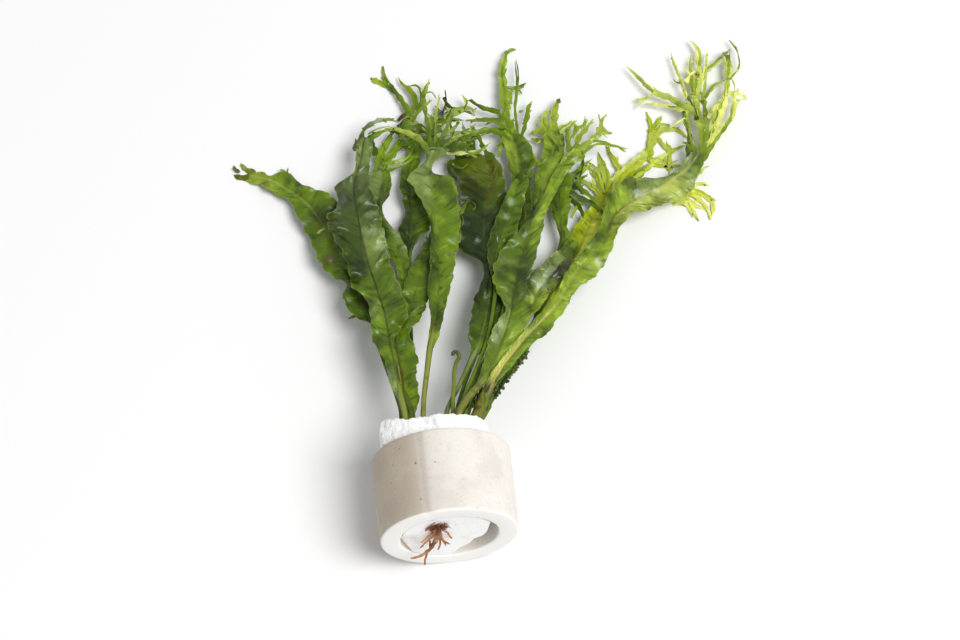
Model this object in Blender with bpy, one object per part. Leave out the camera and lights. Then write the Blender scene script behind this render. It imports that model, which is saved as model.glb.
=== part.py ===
"""A crested java fern in a ceramic planting ring, lying on its side on a flat surface.

Lengths in this file are millimetres until a mesh is made, which is in metres with +Z up.
The working frame has the ring's axis on Y, its leaf end at y = 0, its foot at y = -25, and
the surface at z = 0. At the end one empty moves everything so that the origin is under the
middle of the whole object.

A frond is drawn over the photograph: each row across it is a few photo points, and the row's
height above the surface settles where its sight line meets the plant.
"""

import math
from dataclasses import dataclass

import bmesh
import bpy
import numpy as np
from mathutils import Matrix, Vector

MM = 0.001

# The ceramic ring
RING_RADIUS = 20.0
BORE_RADIUS = 14.0
RING_LENGTH = 25.0
RING_EDGE = 0.7
RING_SIDES = 48
RING_HEIGHT = RING_RADIUS * math.cos(math.pi / RING_SIDES)

# The foam and the rhizome inside the ring
FOAM_RADIUS = BORE_RADIUS - 0.4
FOAM_TURNS = (-15, 0, 15, 30, 45, 60, 75, 90, 105, 120, 135, 150, 165, 180, 195, 210, 225, 240, 255, 270,
              285, 300, 315, 332, 339)
SLOT_SQUARENESS = 0.5
RHIZOME_Y = -5.0
RHIZOME_Z = 22.4
RHIZOME_RADIUS = 2.3
STEM_START_Y = RHIZOME_Y + RHIZOME_RADIUS + 0.8
LIP_Y = 8.0
CROZIER_HEIGHT = 22.5

# Where the photograph was taken from, in the working frame
EYE = np.array([-18.3, -267.2, 612.6])
AZIMUTH = math.radians(-6.33)
ELEVATION = math.radians(62.23)
FOCAL = 2258.0
PHOTO_CENTRE = (480.0, 320.0)

# The fronds' flesh
BLADE_EDGE = 0.4
MIDRIB = 0.8
STEM_FLATNESS = 0.85
FINGER_THICKNESS = 0.5
TIP_WIDTH = 0.35

# How the fronds settle on each other
CELL = 0.3
LAYER_GAP = 0.45
STEEPEST = 0.9
MOST_RISE = 14.0
SETTLE_ROUNDS = 6

LEAF_GREEN = (0.16, 0.30, 0.05)
DARK_GREEN = (0.07, 0.14, 0.05)
GREY_GREEN = (0.15, 0.21, 0.11)
BRIGHT_GREEN = (0.17, 0.36, 0.03)
YELLOW_GREEN = (0.38, 0.48, 0.05)


def sight_line():
    """Right, up and forward directions of the view."""
    right = np.array([math.cos(AZIMUTH), math.sin(AZIMUTH), 0.0])
    back = np.array([
        math.sin(AZIMUTH) * math.cos(ELEVATION),
        -math.cos(AZIMUTH) * math.cos(ELEVATION),
        math.sin(ELEVATION),
    ])
    return right, np.cross(back, right), -back


RIGHT, UP, FORWARD = sight_line()


def ray(x, y):
    """Direction from the eye through a photo point; arrays give one direction a row."""
    across = (np.asarray(x, float) - PHOTO_CENTRE[0]) / FOCAL
    rise = (PHOTO_CENTRE[1] - np.asarray(y, float)) / FOCAL
    return FORWARD + np.multiply.outer(across, RIGHT) + np.multiply.outer(rise, UP)


def at_height(x, y, height):
    """The point at this height that the photo shows at x, y."""
    direction = ray(x, y)
    reach = (np.asarray(height, float) - EYE[2]) / direction[..., 2]
    return EYE + direction * reach[..., None]


def at_depth(x, y, depth):
    """The point on the plane y = depth that the photo shows at x, y."""
    direction = ray(x, y)
    return EYE + direction * ((depth - EYE[1]) / direction[1])


@dataclass
class Finger:
    """A ribbon of the crest: its photo points, base width, fall along it and its forks."""

    route: tuple
    width: float = 1.3
    fall: float = 1.5
    forks: tuple = ()


@dataclass
class Frond:
    """One leaf: where it leaves the rhizome, its stem, its blade and its crest.

    root is x and z at the rhizome, and mouth at the foam's lip. A stem row is photo x, photo y
    and width. A blade row is the photo points of the left margin, the midrib and the right
    margin. heights are those of the first photo row and the blade's end.
    """

    name: str
    colour: tuple
    root: tuple
    mouth: tuple
    heights: tuple
    stem: tuple
    blade: tuple
    crest: tuple = ()
    ruffle: float = 0.7
    waves: float = 3.5
    droop: float = 1.4


FAR_LEFT = Frond(
    "frond_far_left", LEAF_GREEN, root=(-9.4, 19.6), mouth=(-10.4, 19.2), heights=(18.5, 0.3), droop=1.15,
    stem=((402, 412, 1.5), (396, 393, 1.5), (388, 370, 1.6), (380, 347, 1.8)),
    blade=(
        (371, 324, 373, 326, 380, 322), (355, 317, 366, 310, 376, 305),
        (343, 298, 358, 293, 372, 290), (347, 284, 350, 278, 365, 270),
        (333, 277, 344, 262, 358, 252), (319, 262, 334, 243, 350, 232),
        (313, 246, 325, 228, 342, 220), (305, 230, 317, 216, 338, 207),
        (297, 215, 308, 206, 332, 196), (289, 200, 298, 197, 316, 189),
        (279, 196, 287, 190, 302, 184), (269, 190, 278, 184, 286, 172),
        (257, 184, 264, 178, 270, 176), (246, 181, 251, 176, 258, 172),
    ),
    crest=(Finger(((238, 177), (233, 175)), 2.4, 0.0), Finger(((244, 168), (241, 163)), 2.4, 0.0)),
    ruffle=0.4,
)

DARK_CENTRE = Frond(
    "frond_dark_centre", DARK_GREEN, root=(-5.4, 19.6), mouth=(-6.2, 19.2), heights=(18.5, 3.0),
    stem=((412, 413, 1.4), (411, 380, 1.4), (411, 345, 1.4), (410, 310, 1.4), (409, 275, 1.6)),
    blade=(
        (405, 252, 409, 252, 413, 248), (400, 236, 410, 238, 422, 236),
        (399, 228, 411, 225, 430, 228), (405, 214, 412, 212, 431, 214),
        (403, 200, 411, 199, 427, 202), (400, 187, 409, 186, 421, 188),
        (401, 174, 408, 173, 416, 174), (407, 160, 412, 158, 419, 158),
    ),
    crest=(
        Finger(((410, 147), (402, 143), (396, 150), (395, 158)), 1.8),
        Finger(((415, 142), (420, 130), (414, 121), (402, 120)), 1.8),
        Finger(((421, 143), (432, 131), (430, 119), (440, 112)), 2.0),
    ),
)

TALL_LEFT = Frond(
    "frond_tall_left", LEAF_GREEN, root=(-7.4, 19.6), mouth=(-8.3, 19.2), heights=(18.5, 4.5),
    stem=((408, 413, 1.4), (405, 385, 1.4), (404, 355, 1.4), (404, 325, 1.5)),
    blade=(
        (401, 302, 405, 300, 410, 301), (399, 283, 404, 281, 411, 279),
        (395, 264, 401, 260, 409, 262), (388, 250, 395, 246, 406, 247),
        (384, 235, 390, 231, 398, 234), (378, 219, 382, 217, 387, 221),
        (372, 207, 377, 205, 382, 208), (367, 197, 380, 193, 389, 195),
        (366, 184, 383, 180, 391, 184), (372, 171, 383, 168, 389, 172),
    ),
    crest=(
        Finger(((379, 156), (385, 145), (392, 132)), 1.2),
        Finger(
            ((392, 152), (401, 138), (408, 124), (410, 116)), 2.0,
            forks=(
                Finger(
                    ((402, 102), (393, 88)), 1.4,
                    forks=(Finger(((382, 82), (372, 80)), 0.9), Finger(((386, 78), (383, 66)), 0.8)),
                ),
                Finger(((414, 101), (409, 91), (401, 83), (398, 77)), 1.3),
            ),
        ),
        Finger(((398, 167), (409, 161), (416, 149), (412, 139)), 1.2),
    ),
)

SHORT_BRIGHT = Frond(
    "frond_short_bright", BRIGHT_GREEN, root=(-7.4, 22.4), mouth=(-7.6, 22.2), heights=(21.5, 10.5),
    stem=((411, 413, 2.4),),
    blade=(
        (403, 400, 407, 400, 419, 400), (399, 388, 403, 388, 418, 387),
        (396, 371, 400, 370, 416, 370), (394, 359, 398, 358, 418, 361),
        (392, 345, 397, 344, 414, 345), (392, 333, 400, 332, 409, 333),
        (394, 321, 405, 319, 418, 322), (397, 308, 411, 305, 425, 309),
        (401, 295, 416, 291, 428, 299), (406, 280, 420, 276, 431, 281),
        (411, 267, 424, 262, 432, 262), (420, 253, 427, 249, 433, 247),
    ),
    crest=(Finger(((431, 236), (434, 226)), 2.0),),
)

BROAD_LEFT = Frond(
    "frond_broad_left", GREY_GREEN, root=(-8.6, 25.4), mouth=(-9.0, 25.2), heights=(24.0, 9.0),
    stem=((405, 413, 1.8), (401, 398, 1.9)),
    blade=(
        (390, 384, 398, 382, 401, 381), (388, 374, 396, 371, 399, 370),
        (384, 359, 393, 357, 397, 356), (375, 345, 390, 342, 394, 340),
        (371, 330, 387, 326, 400, 330), (370, 314, 384, 311, 408, 313),
        (366, 299, 379, 297, 404, 298), (352, 286, 375, 283, 397, 280),
        (349, 270, 370, 269, 391, 264), (342, 251, 365, 252, 387, 248),
        (332, 234, 361, 235, 384, 232), (327, 216, 358, 217, 380, 216),
        (338, 206, 355, 201, 376, 202), (336, 186, 354, 186, 371, 189),
        (353, 173, 357, 171, 369, 173), (356, 153, 362, 152, 371, 155),
        (357, 140, 364, 140, 372, 142),
    ),
    crest=(
        Finger(((364, 130), (372, 123), (384, 120), (398, 121)), 1.3),
        Finger(((376, 136), (386, 130), (397, 127)), 1.4),
    ),
    waves=4.5, ruffle=1.0,
)

CENTRE = Frond(
    "frond_centre", BRIGHT_GREEN, root=(-4.4, 25.4), mouth=(-4.2, 25.2), heights=(24.0, 9.0),
    stem=((423, 413, 1.5), (424, 397, 1.5), (427, 372, 1.6), (430, 348, 1.9)),
    blade=(
        (429, 334, 433, 333, 439, 335), (431, 319, 435, 318, 443, 318),
        (429, 304, 437, 302, 447, 301), (428, 288, 439, 286, 451, 285),
        (430, 271, 440, 270, 454, 270), (430, 254, 439, 254, 456, 254),
        (431, 240, 437, 240, 460, 242), (431, 226, 435, 226, 460, 227),
        (426, 210, 434, 210, 459, 210), (419, 197, 432, 195, 457, 193),
        (412, 185, 431, 182, 453, 180), (408, 176, 429, 171, 446, 172),
        (426, 161, 430, 160, 444, 162), (428, 150, 435, 150, 447, 151),
    ),
    crest=(
        Finger(((418, 138), (402, 131), (387, 128)), 2.2),
        Finger(
            ((428, 128), (425, 110), (423, 98)), 1.8,
            forks=(Finger(((417, 86), (409, 86)), 0.7), Finger(((427, 88), (429, 79)), 0.9)),
        ),
        Finger(((436, 128), (436, 111), (440, 97)), 1.3),
        Finger(
            ((446, 130), (454, 114), (464, 110)), 2.0,
            forks=(Finger(((467, 102), (462, 95)), 0.7), Finger(((468, 112), (475, 116)), 0.9)),
        ),
        Finger(((455, 138), (468, 131), (476, 124)), 1.5),
        Finger(((459, 153), (475, 153), (490, 143)), 1.7),
    ),
    waves=4.0,
)

UNDER_RIGHT = Frond(
    "frond_under_right", YELLOW_GREEN, root=(9.6, 19.6), mouth=(11.3, 19.2), heights=(18.0, 0.6),
    stem=((480, 413, 1.2), (490, 392, 1.2), (507, 367, 1.2), (528, 341, 1.2), (549, 317, 1.4)),
    blade=(
        (560, 294, 565, 295, 570, 297), (579, 268, 585, 267, 592, 270),
        (597, 240, 604, 240, 611, 242), (610, 215, 617, 217, 624, 219),
        (632, 193, 637, 201, 643, 207), (658, 184, 663, 193, 668, 200),
        (679, 180, 683, 188, 686, 197),
    ),
    crest=(
        Finger(((695, 184), (703, 183), (710, 186)), 1.0, 0.3),
        Finger(((697, 190), (707, 195), (716, 201)), 1.2, 0.3),
        Finger(((699, 199), (708, 210), (711, 220)), 1.6, 0.3),
        Finger(((690, 202), (694, 211), (698, 221)), 1.4, 0.3),
    ),
    ruffle=0.3, droop=1.2,
)

YELLOW = Frond(
    "frond_yellow", YELLOW_GREEN, root=(7.7, 19.6), mouth=(9.6, 19.2), heights=(18.5, 2.0),
    stem=((474, 413, 1.2), (483, 392, 1.2), (498, 367, 1.2), (518, 341, 1.4)),
    blade=(
        (533, 319, 538, 318, 545, 317), (537, 305, 546, 304, 553, 304),
        (548, 290, 555, 289, 563, 290), (559, 273, 564, 274, 572, 276),
        (566, 261, 572, 262, 580, 262), (572, 248, 579, 251, 586, 252),
        (571, 236, 585, 237, 593, 239), (579, 220, 592, 221, 602, 226),
        (590, 207, 600, 207, 609, 212), (600, 193, 608, 193, 615, 196),
    ),
    crest=(
        Finger(((592, 185), (582, 181), (573, 178)), 1.3),
        Finger(((600, 178), (596, 168), (587, 161)), 1.2),
        Finger(((609, 180), (605, 166), (598, 152)), 1.5),
        Finger(((619, 172), (612, 158), (606, 146)), 1.4),
        Finger(
            ((628, 173), (641, 162), (650, 148), (652, 132)), 2.3,
            forks=(
                Finger(((649, 120), (646, 112)), 0.9),
                Finger(((658, 122), (661, 116)), 1.0),
                Finger(((664, 129), (677, 129), (690, 141)), 1.2),
            ),
        ),
        Finger(
            ((636, 177), (650, 167), (664, 157)), 1.6,
            forks=(Finger(((674, 149), (687, 145)), 1.0), Finger(((669, 166), (669, 178)), 1.0)),
        ),
    ),
    droop=1.3,
)

HANGING = Frond(
    "frond_hanging", DARK_GREEN, root=(5.8, 19.6), mouth=(7.9, 19.2), heights=(18.0, 3.5),
    stem=((468, 413, 1.2), (476, 392, 1.2), (489, 367, 1.2), (506, 338, 1.2), (524, 305, 1.2),
          (542, 276, 1.3), (556, 258, 1.4)),
    blade=(
        (560, 240, 564, 243, 571, 238), (556, 224, 561, 225, 567, 226),
        (551, 208, 560, 207, 570, 209), (550, 193, 560, 190, 572, 195),
        (555, 180, 565, 176, 576, 182),
    ),
    crest=(
        Finger(((560, 170), (567, 164), (573, 160)), 1.5),
        Finger(((577, 171), (584, 165), (592, 159)), 1.4),
        Finger(((583, 190), (595, 201), (604, 215)), 1.8),
    ),
    droop=1.2,
)

CRUMPLED = Frond(
    "frond_crumpled", GREY_GREEN, root=(3.9, 19.6), mouth=(6.2, 19.2), heights=(18.5, 6.5),
    stem=((462, 413, 1.2), (469, 392, 1.2), (481, 367, 1.2), (497, 340, 1.2), (514, 321, 1.4)),
    blade=(
        (522, 306, 530, 309, 537, 311), (523, 287, 539, 292, 548, 296),
        (533, 272, 549, 278, 558, 284), (545, 262, 558, 268, 565, 274),
        (558, 251, 567, 257, 572, 262),
    ),
    crest=(Finger(((572, 248), (577, 239)), 3.0),),
    waves=2.5,
)

FEATHERED = Frond(
    "frond_feathered", GREY_GREEN, root=(2.0, 19.6), mouth=(4.5, 19.2), heights=(18.5, 4.5),
    stem=((456, 413, 1.2), (462, 392, 1.2), (471, 367, 1.2), (482, 340, 1.2), (499, 300, 1.2),
          (514, 262, 1.4), (524, 234, 1.6)),
    blade=(
        (526, 216, 534, 214, 545, 214), (532, 197, 541, 195, 552, 198),
        (535, 179, 545, 177, 557, 180), (540, 161, 551, 160, 563, 162),
        (544, 146, 554, 144, 564, 146), (545, 133, 553, 131, 562, 133),
    ),
    crest=(
        Finger(((541, 128), (535, 131), (529, 135)), 1.6),
        Finger(((546, 122), (544, 115), (550, 108)), 1.5),
        Finger(((554, 118), (556, 108), (560, 98)), 2.2),
        Finger(((565, 127), (574, 125), (582, 129)), 1.6),
    ),
)

DARK_RIGHT = Frond(
    "frond_dark_right", DARK_GREEN, root=(1.6, 22.4), mouth=(2.2, 22.2), heights=(21.5, 4.5),
    stem=((446, 412, 1.4), (452, 399, 1.4), (459, 386, 1.4), (466, 371, 1.5), (472, 358, 1.8)),
    blade=(
        (471, 348, 478, 347, 485, 349), (468, 334, 482, 333, 493, 336),
        (471, 318, 486, 317, 500, 318), (474, 300, 489, 299, 504, 302),
        (480, 286, 490, 283, 500, 285), (484, 271, 491, 269, 498, 270),
        (478, 259, 489, 257, 498, 257), (459, 250, 485, 247, 500, 246),
        (460, 235, 484, 233, 501, 232), (462, 219, 485, 217, 502, 218),
        (462, 204, 488, 202, 504, 202), (460, 189, 492, 187, 506, 187),
        (456, 173, 492, 171, 503, 173), (453, 160, 489, 158, 498, 161),
    ),
    crest=(
        Finger(((454, 147), (452, 134), (450, 120)), 2.2),
        Finger(((468, 145), (465, 132), (462, 122)), 2.0),
        Finger(((483, 147), (478, 136), (470, 128)), 1.8),
    ),
    waves=4.0,
)

GLOSSY = Frond(
    "frond_glossy", DARK_GREEN, root=(4.0, 22.4), mouth=(5.6, 22.2), heights=(21.5, 6.0),
    stem=((458, 413, 1.2), (466, 392, 1.2), (477, 367, 1.2), (487, 340, 1.2), (493, 310, 1.2),
          (496, 282, 1.5)),
    blade=(
        (488, 261, 496, 260, 504, 261), (488, 244, 500, 242, 513, 242),
        (493, 227, 506, 225, 518, 225), (500, 210, 511, 207, 523, 207),
        (507, 195, 515, 192, 526, 191), (514, 181, 520, 178, 528, 178),
    ),
    crest=(Finger(((526, 168), (532, 159)), 1.8),),
)

PLUME = Frond(
    "frond_plume", BRIGHT_GREEN, root=(5.9, 22.4), mouth=(7.5, 22.2), heights=(21.0, 5.0),
    stem=((465, 413, 1.2), (473, 392, 1.2), (484, 367, 1.2), (495, 338, 1.2), (506, 300, 1.2),
          (515, 264, 1.5), (521, 236, 1.6)),
    blade=(
        (517, 220, 525, 219, 533, 220), (518, 204, 525, 203, 532, 205),
        (516, 189, 524, 188, 531, 190), (510, 174, 521, 173, 532, 176),
        (508, 160, 518, 158, 535, 161), (505, 148, 515, 146, 531, 147),
        (503, 136, 511, 135, 523, 136),
    ),
    crest=(
        Finger(((492, 130), (472, 133), (453, 138)), 2.1, 0.5),
        Finger(((494, 120), (480, 120), (465, 121)), 1.9, 0.5),
        Finger(((498, 113), (484, 109), (468, 100)), 1.5, 0.5),
        Finger(
            ((506, 116), (505, 101), (504, 87)), 3.0,
            forks=(
                Finger(((502, 72), (506, 58), (509, 50), (516, 50)), 0.9),
                Finger(((515, 88), (526, 83)), 1.1),
            ),
        ),
        Finger(((515, 105), (517, 85), (515, 62)), 1.0),
        Finger(((525, 126), (527, 114), (532, 102)), 1.5),
    ),
)

SPORE = Frond(
    "frond_spore", DARK_GREEN, root=(9.4, 22.4), mouth=(11.4, 22.2), heights=(21.0, 13.5),
    stem=((486, 414, 1.4), (489, 404, 1.6)),
    blade=(
        (488, 394, 492, 396, 496, 397), (494, 381, 499, 384, 503, 386),
        (503, 370, 507, 373, 511, 375), (512, 360, 516, 362, 520, 364),
        (521, 349, 524, 351, 528, 353),
    ),
    crest=(Finger(((529, 346), (533, 343)), 1.4, 0.3),),
    ruffle=0.3,
)

BROAD_RIGHT = Frond(
    "frond_broad_right", BRIGHT_GREEN, root=(5.0, 25.4), mouth=(6.0, 25.6), heights=(25.0, 8.0),
    stem=((457, 413, 1.5), (464, 402, 1.6), (473, 392, 1.8), (481, 383, 2.0)),
    blade=(
        (481, 371, 487, 374, 492, 373), (486, 352, 497, 356, 508, 351),
        (490, 336, 503, 340, 520, 336), (498, 320, 508, 324, 529, 320),
        (506, 310, 511, 311, 531, 306), (500, 297, 513, 296, 529, 292),
        (494, 284, 516, 281, 526, 282), (493, 270, 519, 268, 532, 270),
        (498, 257, 523, 255, 536, 256), (505, 245, 526, 244, 539, 243),
        (517, 233, 530, 230, 543, 228), (530, 217, 537, 214, 545, 215),
        (539, 203, 545, 201, 550, 203), (546, 190, 551, 188, 557, 190),
        (552, 176, 558, 173, 565, 176), (560, 163, 567, 159, 576, 163),
        (567, 153, 575, 149, 585, 154),
    ),
    crest=(
        Finger(((568, 140), (568, 129), (577, 120)), 2.0),
        Finger(((580, 137), (587, 128), (593, 119)), 1.7),
        Finger(
            ((589, 143), (597, 135), (601, 127)), 2.2,
            forks=(Finger(((602, 120), (607, 114)), 1.2), Finger(((606, 131), (612, 134)), 1.2)),
        ),
        Finger(((598, 144), (613, 146), (627, 149)), 0.9),
    ),
    waves=3.5,
)

LONG_RIGHT = Frond(
    "frond_long_right", LEAF_GREEN, root=(8.8, 25.4), mouth=(10.6, 25.2), heights=(24.0, 5.5), droop=1.2,
    stem=((480, 415, 1.7), (484, 401, 1.8), (489, 388, 2.0)),
    blade=(
        (490, 376, 494, 379, 498, 381), (500, 361, 503, 364, 509, 369),
        (512, 346, 516, 349, 524, 351), (523, 332, 527, 335, 537, 340),
        (533, 321, 538, 324, 549, 332), (541, 312, 546, 315, 555, 322),
        (550, 302, 555, 306, 565, 310), (558, 291, 564, 294, 571, 298),
        (563, 278, 572, 281, 580, 286), (570, 267, 581, 267, 592, 279),
        (579, 256, 593, 255, 603, 266), (588, 244, 602, 244, 612, 249),
        (598, 231, 608, 231, 616, 235), (603, 216, 612, 219, 622, 224),
        (606, 202, 618, 212, 633, 213), (612, 188, 630, 203, 643, 212),
        (627, 178, 645, 195, 657, 206), (647, 178, 660, 188, 671, 202),
        (665, 177, 673, 178, 685, 197), (678, 169, 685, 170, 694, 186),
        (686, 158, 694, 160, 699, 170),
    ),
    crest=(
        Finger(
            ((689, 144), (687, 126), (683, 110), (668, 98), (653, 93)), 2.2,
            forks=(Finger(((644, 99), (636, 100)), 0.7), Finger(((640, 80), (627, 67)), 1.1)),
        ),
        Finger(
            ((694, 142), (691, 120), (686, 102)), 2.0,
            forks=(Finger(((672, 107), (656, 103), (643, 105)), 0.6), Finger(((680, 78), (671, 54)), 1.0)),
        ),
        Finger(
            ((699, 140), (698, 115), (694, 92)), 2.8,
            forks=(Finger(((691, 74), (691, 55)), 1.2), Finger(((699, 70), (699, 50), (690, 40)), 1.2)),
        ),
        Finger(
            ((704, 142), (705, 118), (704, 98)), 1.8,
            forks=(Finger(((706, 74), (706, 52)), 1.0), Finger(((712, 88), (725, 80)), 0.8)),
        ),
        Finger(
            ((709, 140), (716, 116), (724, 98), (728, 80)), 1.8,
            forks=(
                Finger(((722, 60), (712, 68), (705, 72)), 0.9),
                Finger(((729, 62), (730, 50)), 1.0),
                Finger(((739, 66), (738, 53), (729, 40)), 0.7),
            ),
        ),
        Finger(((716, 140), (730, 120), (735, 101), (747, 99)), 1.4),
    ),
    waves=5.5, ruffle=0.9,
)

# From the lowest frond in the heap to the topmost
FRONDS = (
    FAR_LEFT, UNDER_RIGHT, DARK_CENTRE, TALL_LEFT, YELLOW, HANGING, FEATHERED, CRUMPLED, DARK_RIGHT,
    PLUME, GLOSSY, SPORE, SHORT_BRIGHT, BROAD_LEFT, BROAD_RIGHT, CENTRE, LONG_RIGHT,
)


@dataclass
class Row:
    """Points across a frond, and the row and columns that they grow on from."""

    columns: np.ndarray
    height: float
    lifts: np.ndarray
    thickness: np.ndarray
    before: int
    first: int
    last: int
    fixed: bool = False
    rise: float = 0.0

    def points(self):
        if self.fixed:
            return self.columns
        height = self.height + self.rise + self.lifts
        return at_height(self.columns[:, 0], self.columns[:, 1], height)


def stem_row(centre, width):
    """Three photo columns across a stem, whose sides run up and down the photo's slant."""
    x, y = centre
    scale = FOCAL / (EYE[2] / math.sin(ELEVATION))
    half = width * scale / 2
    return np.array([[x - half, y], [x, y], [x + half, y]], float)


def ribbon_row(route, index, width, start):
    """Two photo columns at a point of a ribbon that grows on from start, square to its way."""
    before = route[index - 1] if index else start
    after = route[min(index + 1, len(route) - 1)]
    way = np.subtract(after, before).astype(float)
    way /= np.linalg.norm(way)
    scale = FOCAL / (EYE[2] / math.sin(ELEVATION))
    side = np.array([-way[1], way[0]]) * width * scale / 2
    point = np.array(route[index], float)
    return np.array([point - side, point + side])


def spread(row, count):
    """The row's points resampled to this many columns."""
    along = np.linspace(0, len(row) - 1, count)
    places = np.arange(len(row))
    return np.stack([np.interp(along, places, row[:, k]) for k in range(row.shape[1])], axis=1)


class Growth:
    """The rows of one frond, in the order that they grow."""

    def __init__(self, frond):
        self.frond = frond
        self.rows = []
        self.place_stem_in_foam()
        self.place_blade()

    def add(self, columns, height, lifts, thickness, before, first=0, last=None, fixed=False):
        columns = np.asarray(columns, float)
        count = len(columns)
        if last is None and before >= 0:
            last = len(self.rows[before].columns) - 1
        self.rows.append(Row(
            columns, height, np.broadcast_to(lifts, count).astype(float),
            np.broadcast_to(thickness, count).astype(float), before, first, last, fixed,
        ))
        return len(self.rows) - 1

    def place_stem_in_foam(self):
        """The rows from the rhizome to the foam's lip, which the photo can't show."""
        width = self.frond.stem[0][2]
        side = np.array([width / 2, 0.0, 0.0])
        before = -1
        for (x, z), y in ((self.frond.root, STEM_START_Y), (self.frond.mouth, LIP_Y)):
            middle = np.array([x, y, z])
            before = self.add([middle - side, middle, middle + side], z, 0.0,
                              self.stem_thickness(width), before, fixed=True)

    @staticmethod
    def stem_thickness(width):
        round_part = width * STEM_FLATNESS
        return [round_part * 0.45, round_part, round_part * 0.45]

    def place_blade(self):
        frond = self.frond
        middles = [row[:2] for row in frond.stem] + [row[2:4] for row in frond.blade]
        steps = np.linalg.norm(np.diff(np.array(middles, float), axis=0), axis=1)
        share = np.concatenate([[0.0], np.cumsum(steps)]) / steps.sum()
        base, end = frond.heights
        heights = end + (base - end) * np.clip(1 - share, 0, 1) ** frond.droop
        for index, (x, y, width) in enumerate(frond.stem):
            self.add(stem_row((x, y), width), heights[index], 0.0, self.stem_thickness(width),
                     len(self.rows) - 1)
        stem_count = len(frond.stem)
        for index, row in enumerate(frond.blade):
            height = heights[stem_count + index]
            wave = math.sin(2 * math.pi * frond.waves * share[stem_count + index])
            lifts = np.array([wave, 0.3, 0.0, 0.3, -wave]) * frond.ruffle
            left, middle, right = np.reshape(row, (3, 2)).astype(float)
            columns = np.array([left, (left + middle) / 2, middle, (middle + right) / 2, right])
            thick = [BLADE_EDGE, BLADE_EDGE, MIDRIB, BLADE_EDGE, BLADE_EDGE]
            if index == len(frond.blade) - 1:
                count = len(frond.crest) + 1
                columns = spread(columns, count)
                lifts = np.zeros(count)
                thick = FINGER_THICKNESS
            self.add(columns, height, lifts, thick, len(self.rows) - 1)
        self.grow(frond.crest, len(self.rows) - 1, heights[-1])

    def grow(self, fingers, parent, height):
        """Each finger goes on from its own span of the parent's last row."""
        for span, finger in enumerate(fingers):
            before = parent
            first, last = span, span + 1
            start = self.rows[parent].columns[first:last + 1].mean(axis=0)
            for index in range(len(finger.route)):
                share = (index + 1) / len(finger.route)
                level = max(height - finger.fall * share, FINGER_THICKNESS / 2)
                ending = index == len(finger.route) - 1
                if ending and not finger.forks:
                    columns = [finger.route[index]]
                else:
                    width = finger.width * (1 - share) + max(finger.width * 0.6, TIP_WIDTH) * share
                    columns = ribbon_row(finger.route, index, width, start)
                    if ending:
                        columns = spread(columns, len(finger.forks) + 1)
                before = self.add(columns, level, 0.0, FINGER_THICKNESS, before, first, last)
                first, last = 0, None
            if finger.forks:
                self.grow(finger.forks, before, height - finger.fall)

    def next_rows(self, index):
        return [k for k, row in enumerate(self.rows) if row.before == index]

    def surfaces(self):
        """Each row's points, and the way square to the frond at each of them."""
        points = [row.points() for row in self.rows]
        centres = [block.mean(axis=0) for block in points]
        normals = []
        for index, row in enumerate(self.rows):
            ahead = self.next_rows(index)
            end = np.mean([centres[k] for k in ahead], axis=0) if ahead else centres[index]
            start = centres[row.before] if row.before >= 0 else centres[index]
            along = end - start
            block = points[index]
            if len(block) > 1:
                sides = np.gradient(block, axis=0)
            else:
                sides = (points[row.before][-1] - points[row.before][0])[None]
            square = np.cross(sides, along)
            size = np.linalg.norm(square, axis=1, keepdims=True)
            normals.append(square / np.maximum(size, 1e-9))
        return points, normals

    def samples(self):
        """Points spread over the frond with their thickness, between which rows, and how far along."""
        points, _ = self.surfaces()
        found = []
        for index, row in enumerate(self.rows):
            if row.before < 0:
                continue
            back = points[row.before][row.first:row.last + 1]
            back_thick = self.rows[row.before].thickness[row.first:row.last + 1]
            here = points[index]
            across = max(len(back), len(here))
            length = np.linalg.norm(here.mean(axis=0) - back.mean(axis=0))
            width = max(np.linalg.norm(here[-1] - here[0]), np.linalg.norm(back[-1] - back[0]))
            count = max(across, int(width / CELL) + 2)
            steps = int(length / CELL) + 2
            start = spread(np.column_stack([back, back_thick]), count)
            if len(here) == 1:
                end = np.repeat(np.column_stack([here, row.thickness]), count, axis=0)
            else:
                end = spread(np.column_stack([here, row.thickness]), count)
            share = np.linspace(0, 1, steps)[:, None, None]
            block = (start * (1 - share) + end * share).reshape(-1, 4)
            found.append((index, row.before, block, np.repeat(share.ravel(), count)))
        return found


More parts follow.
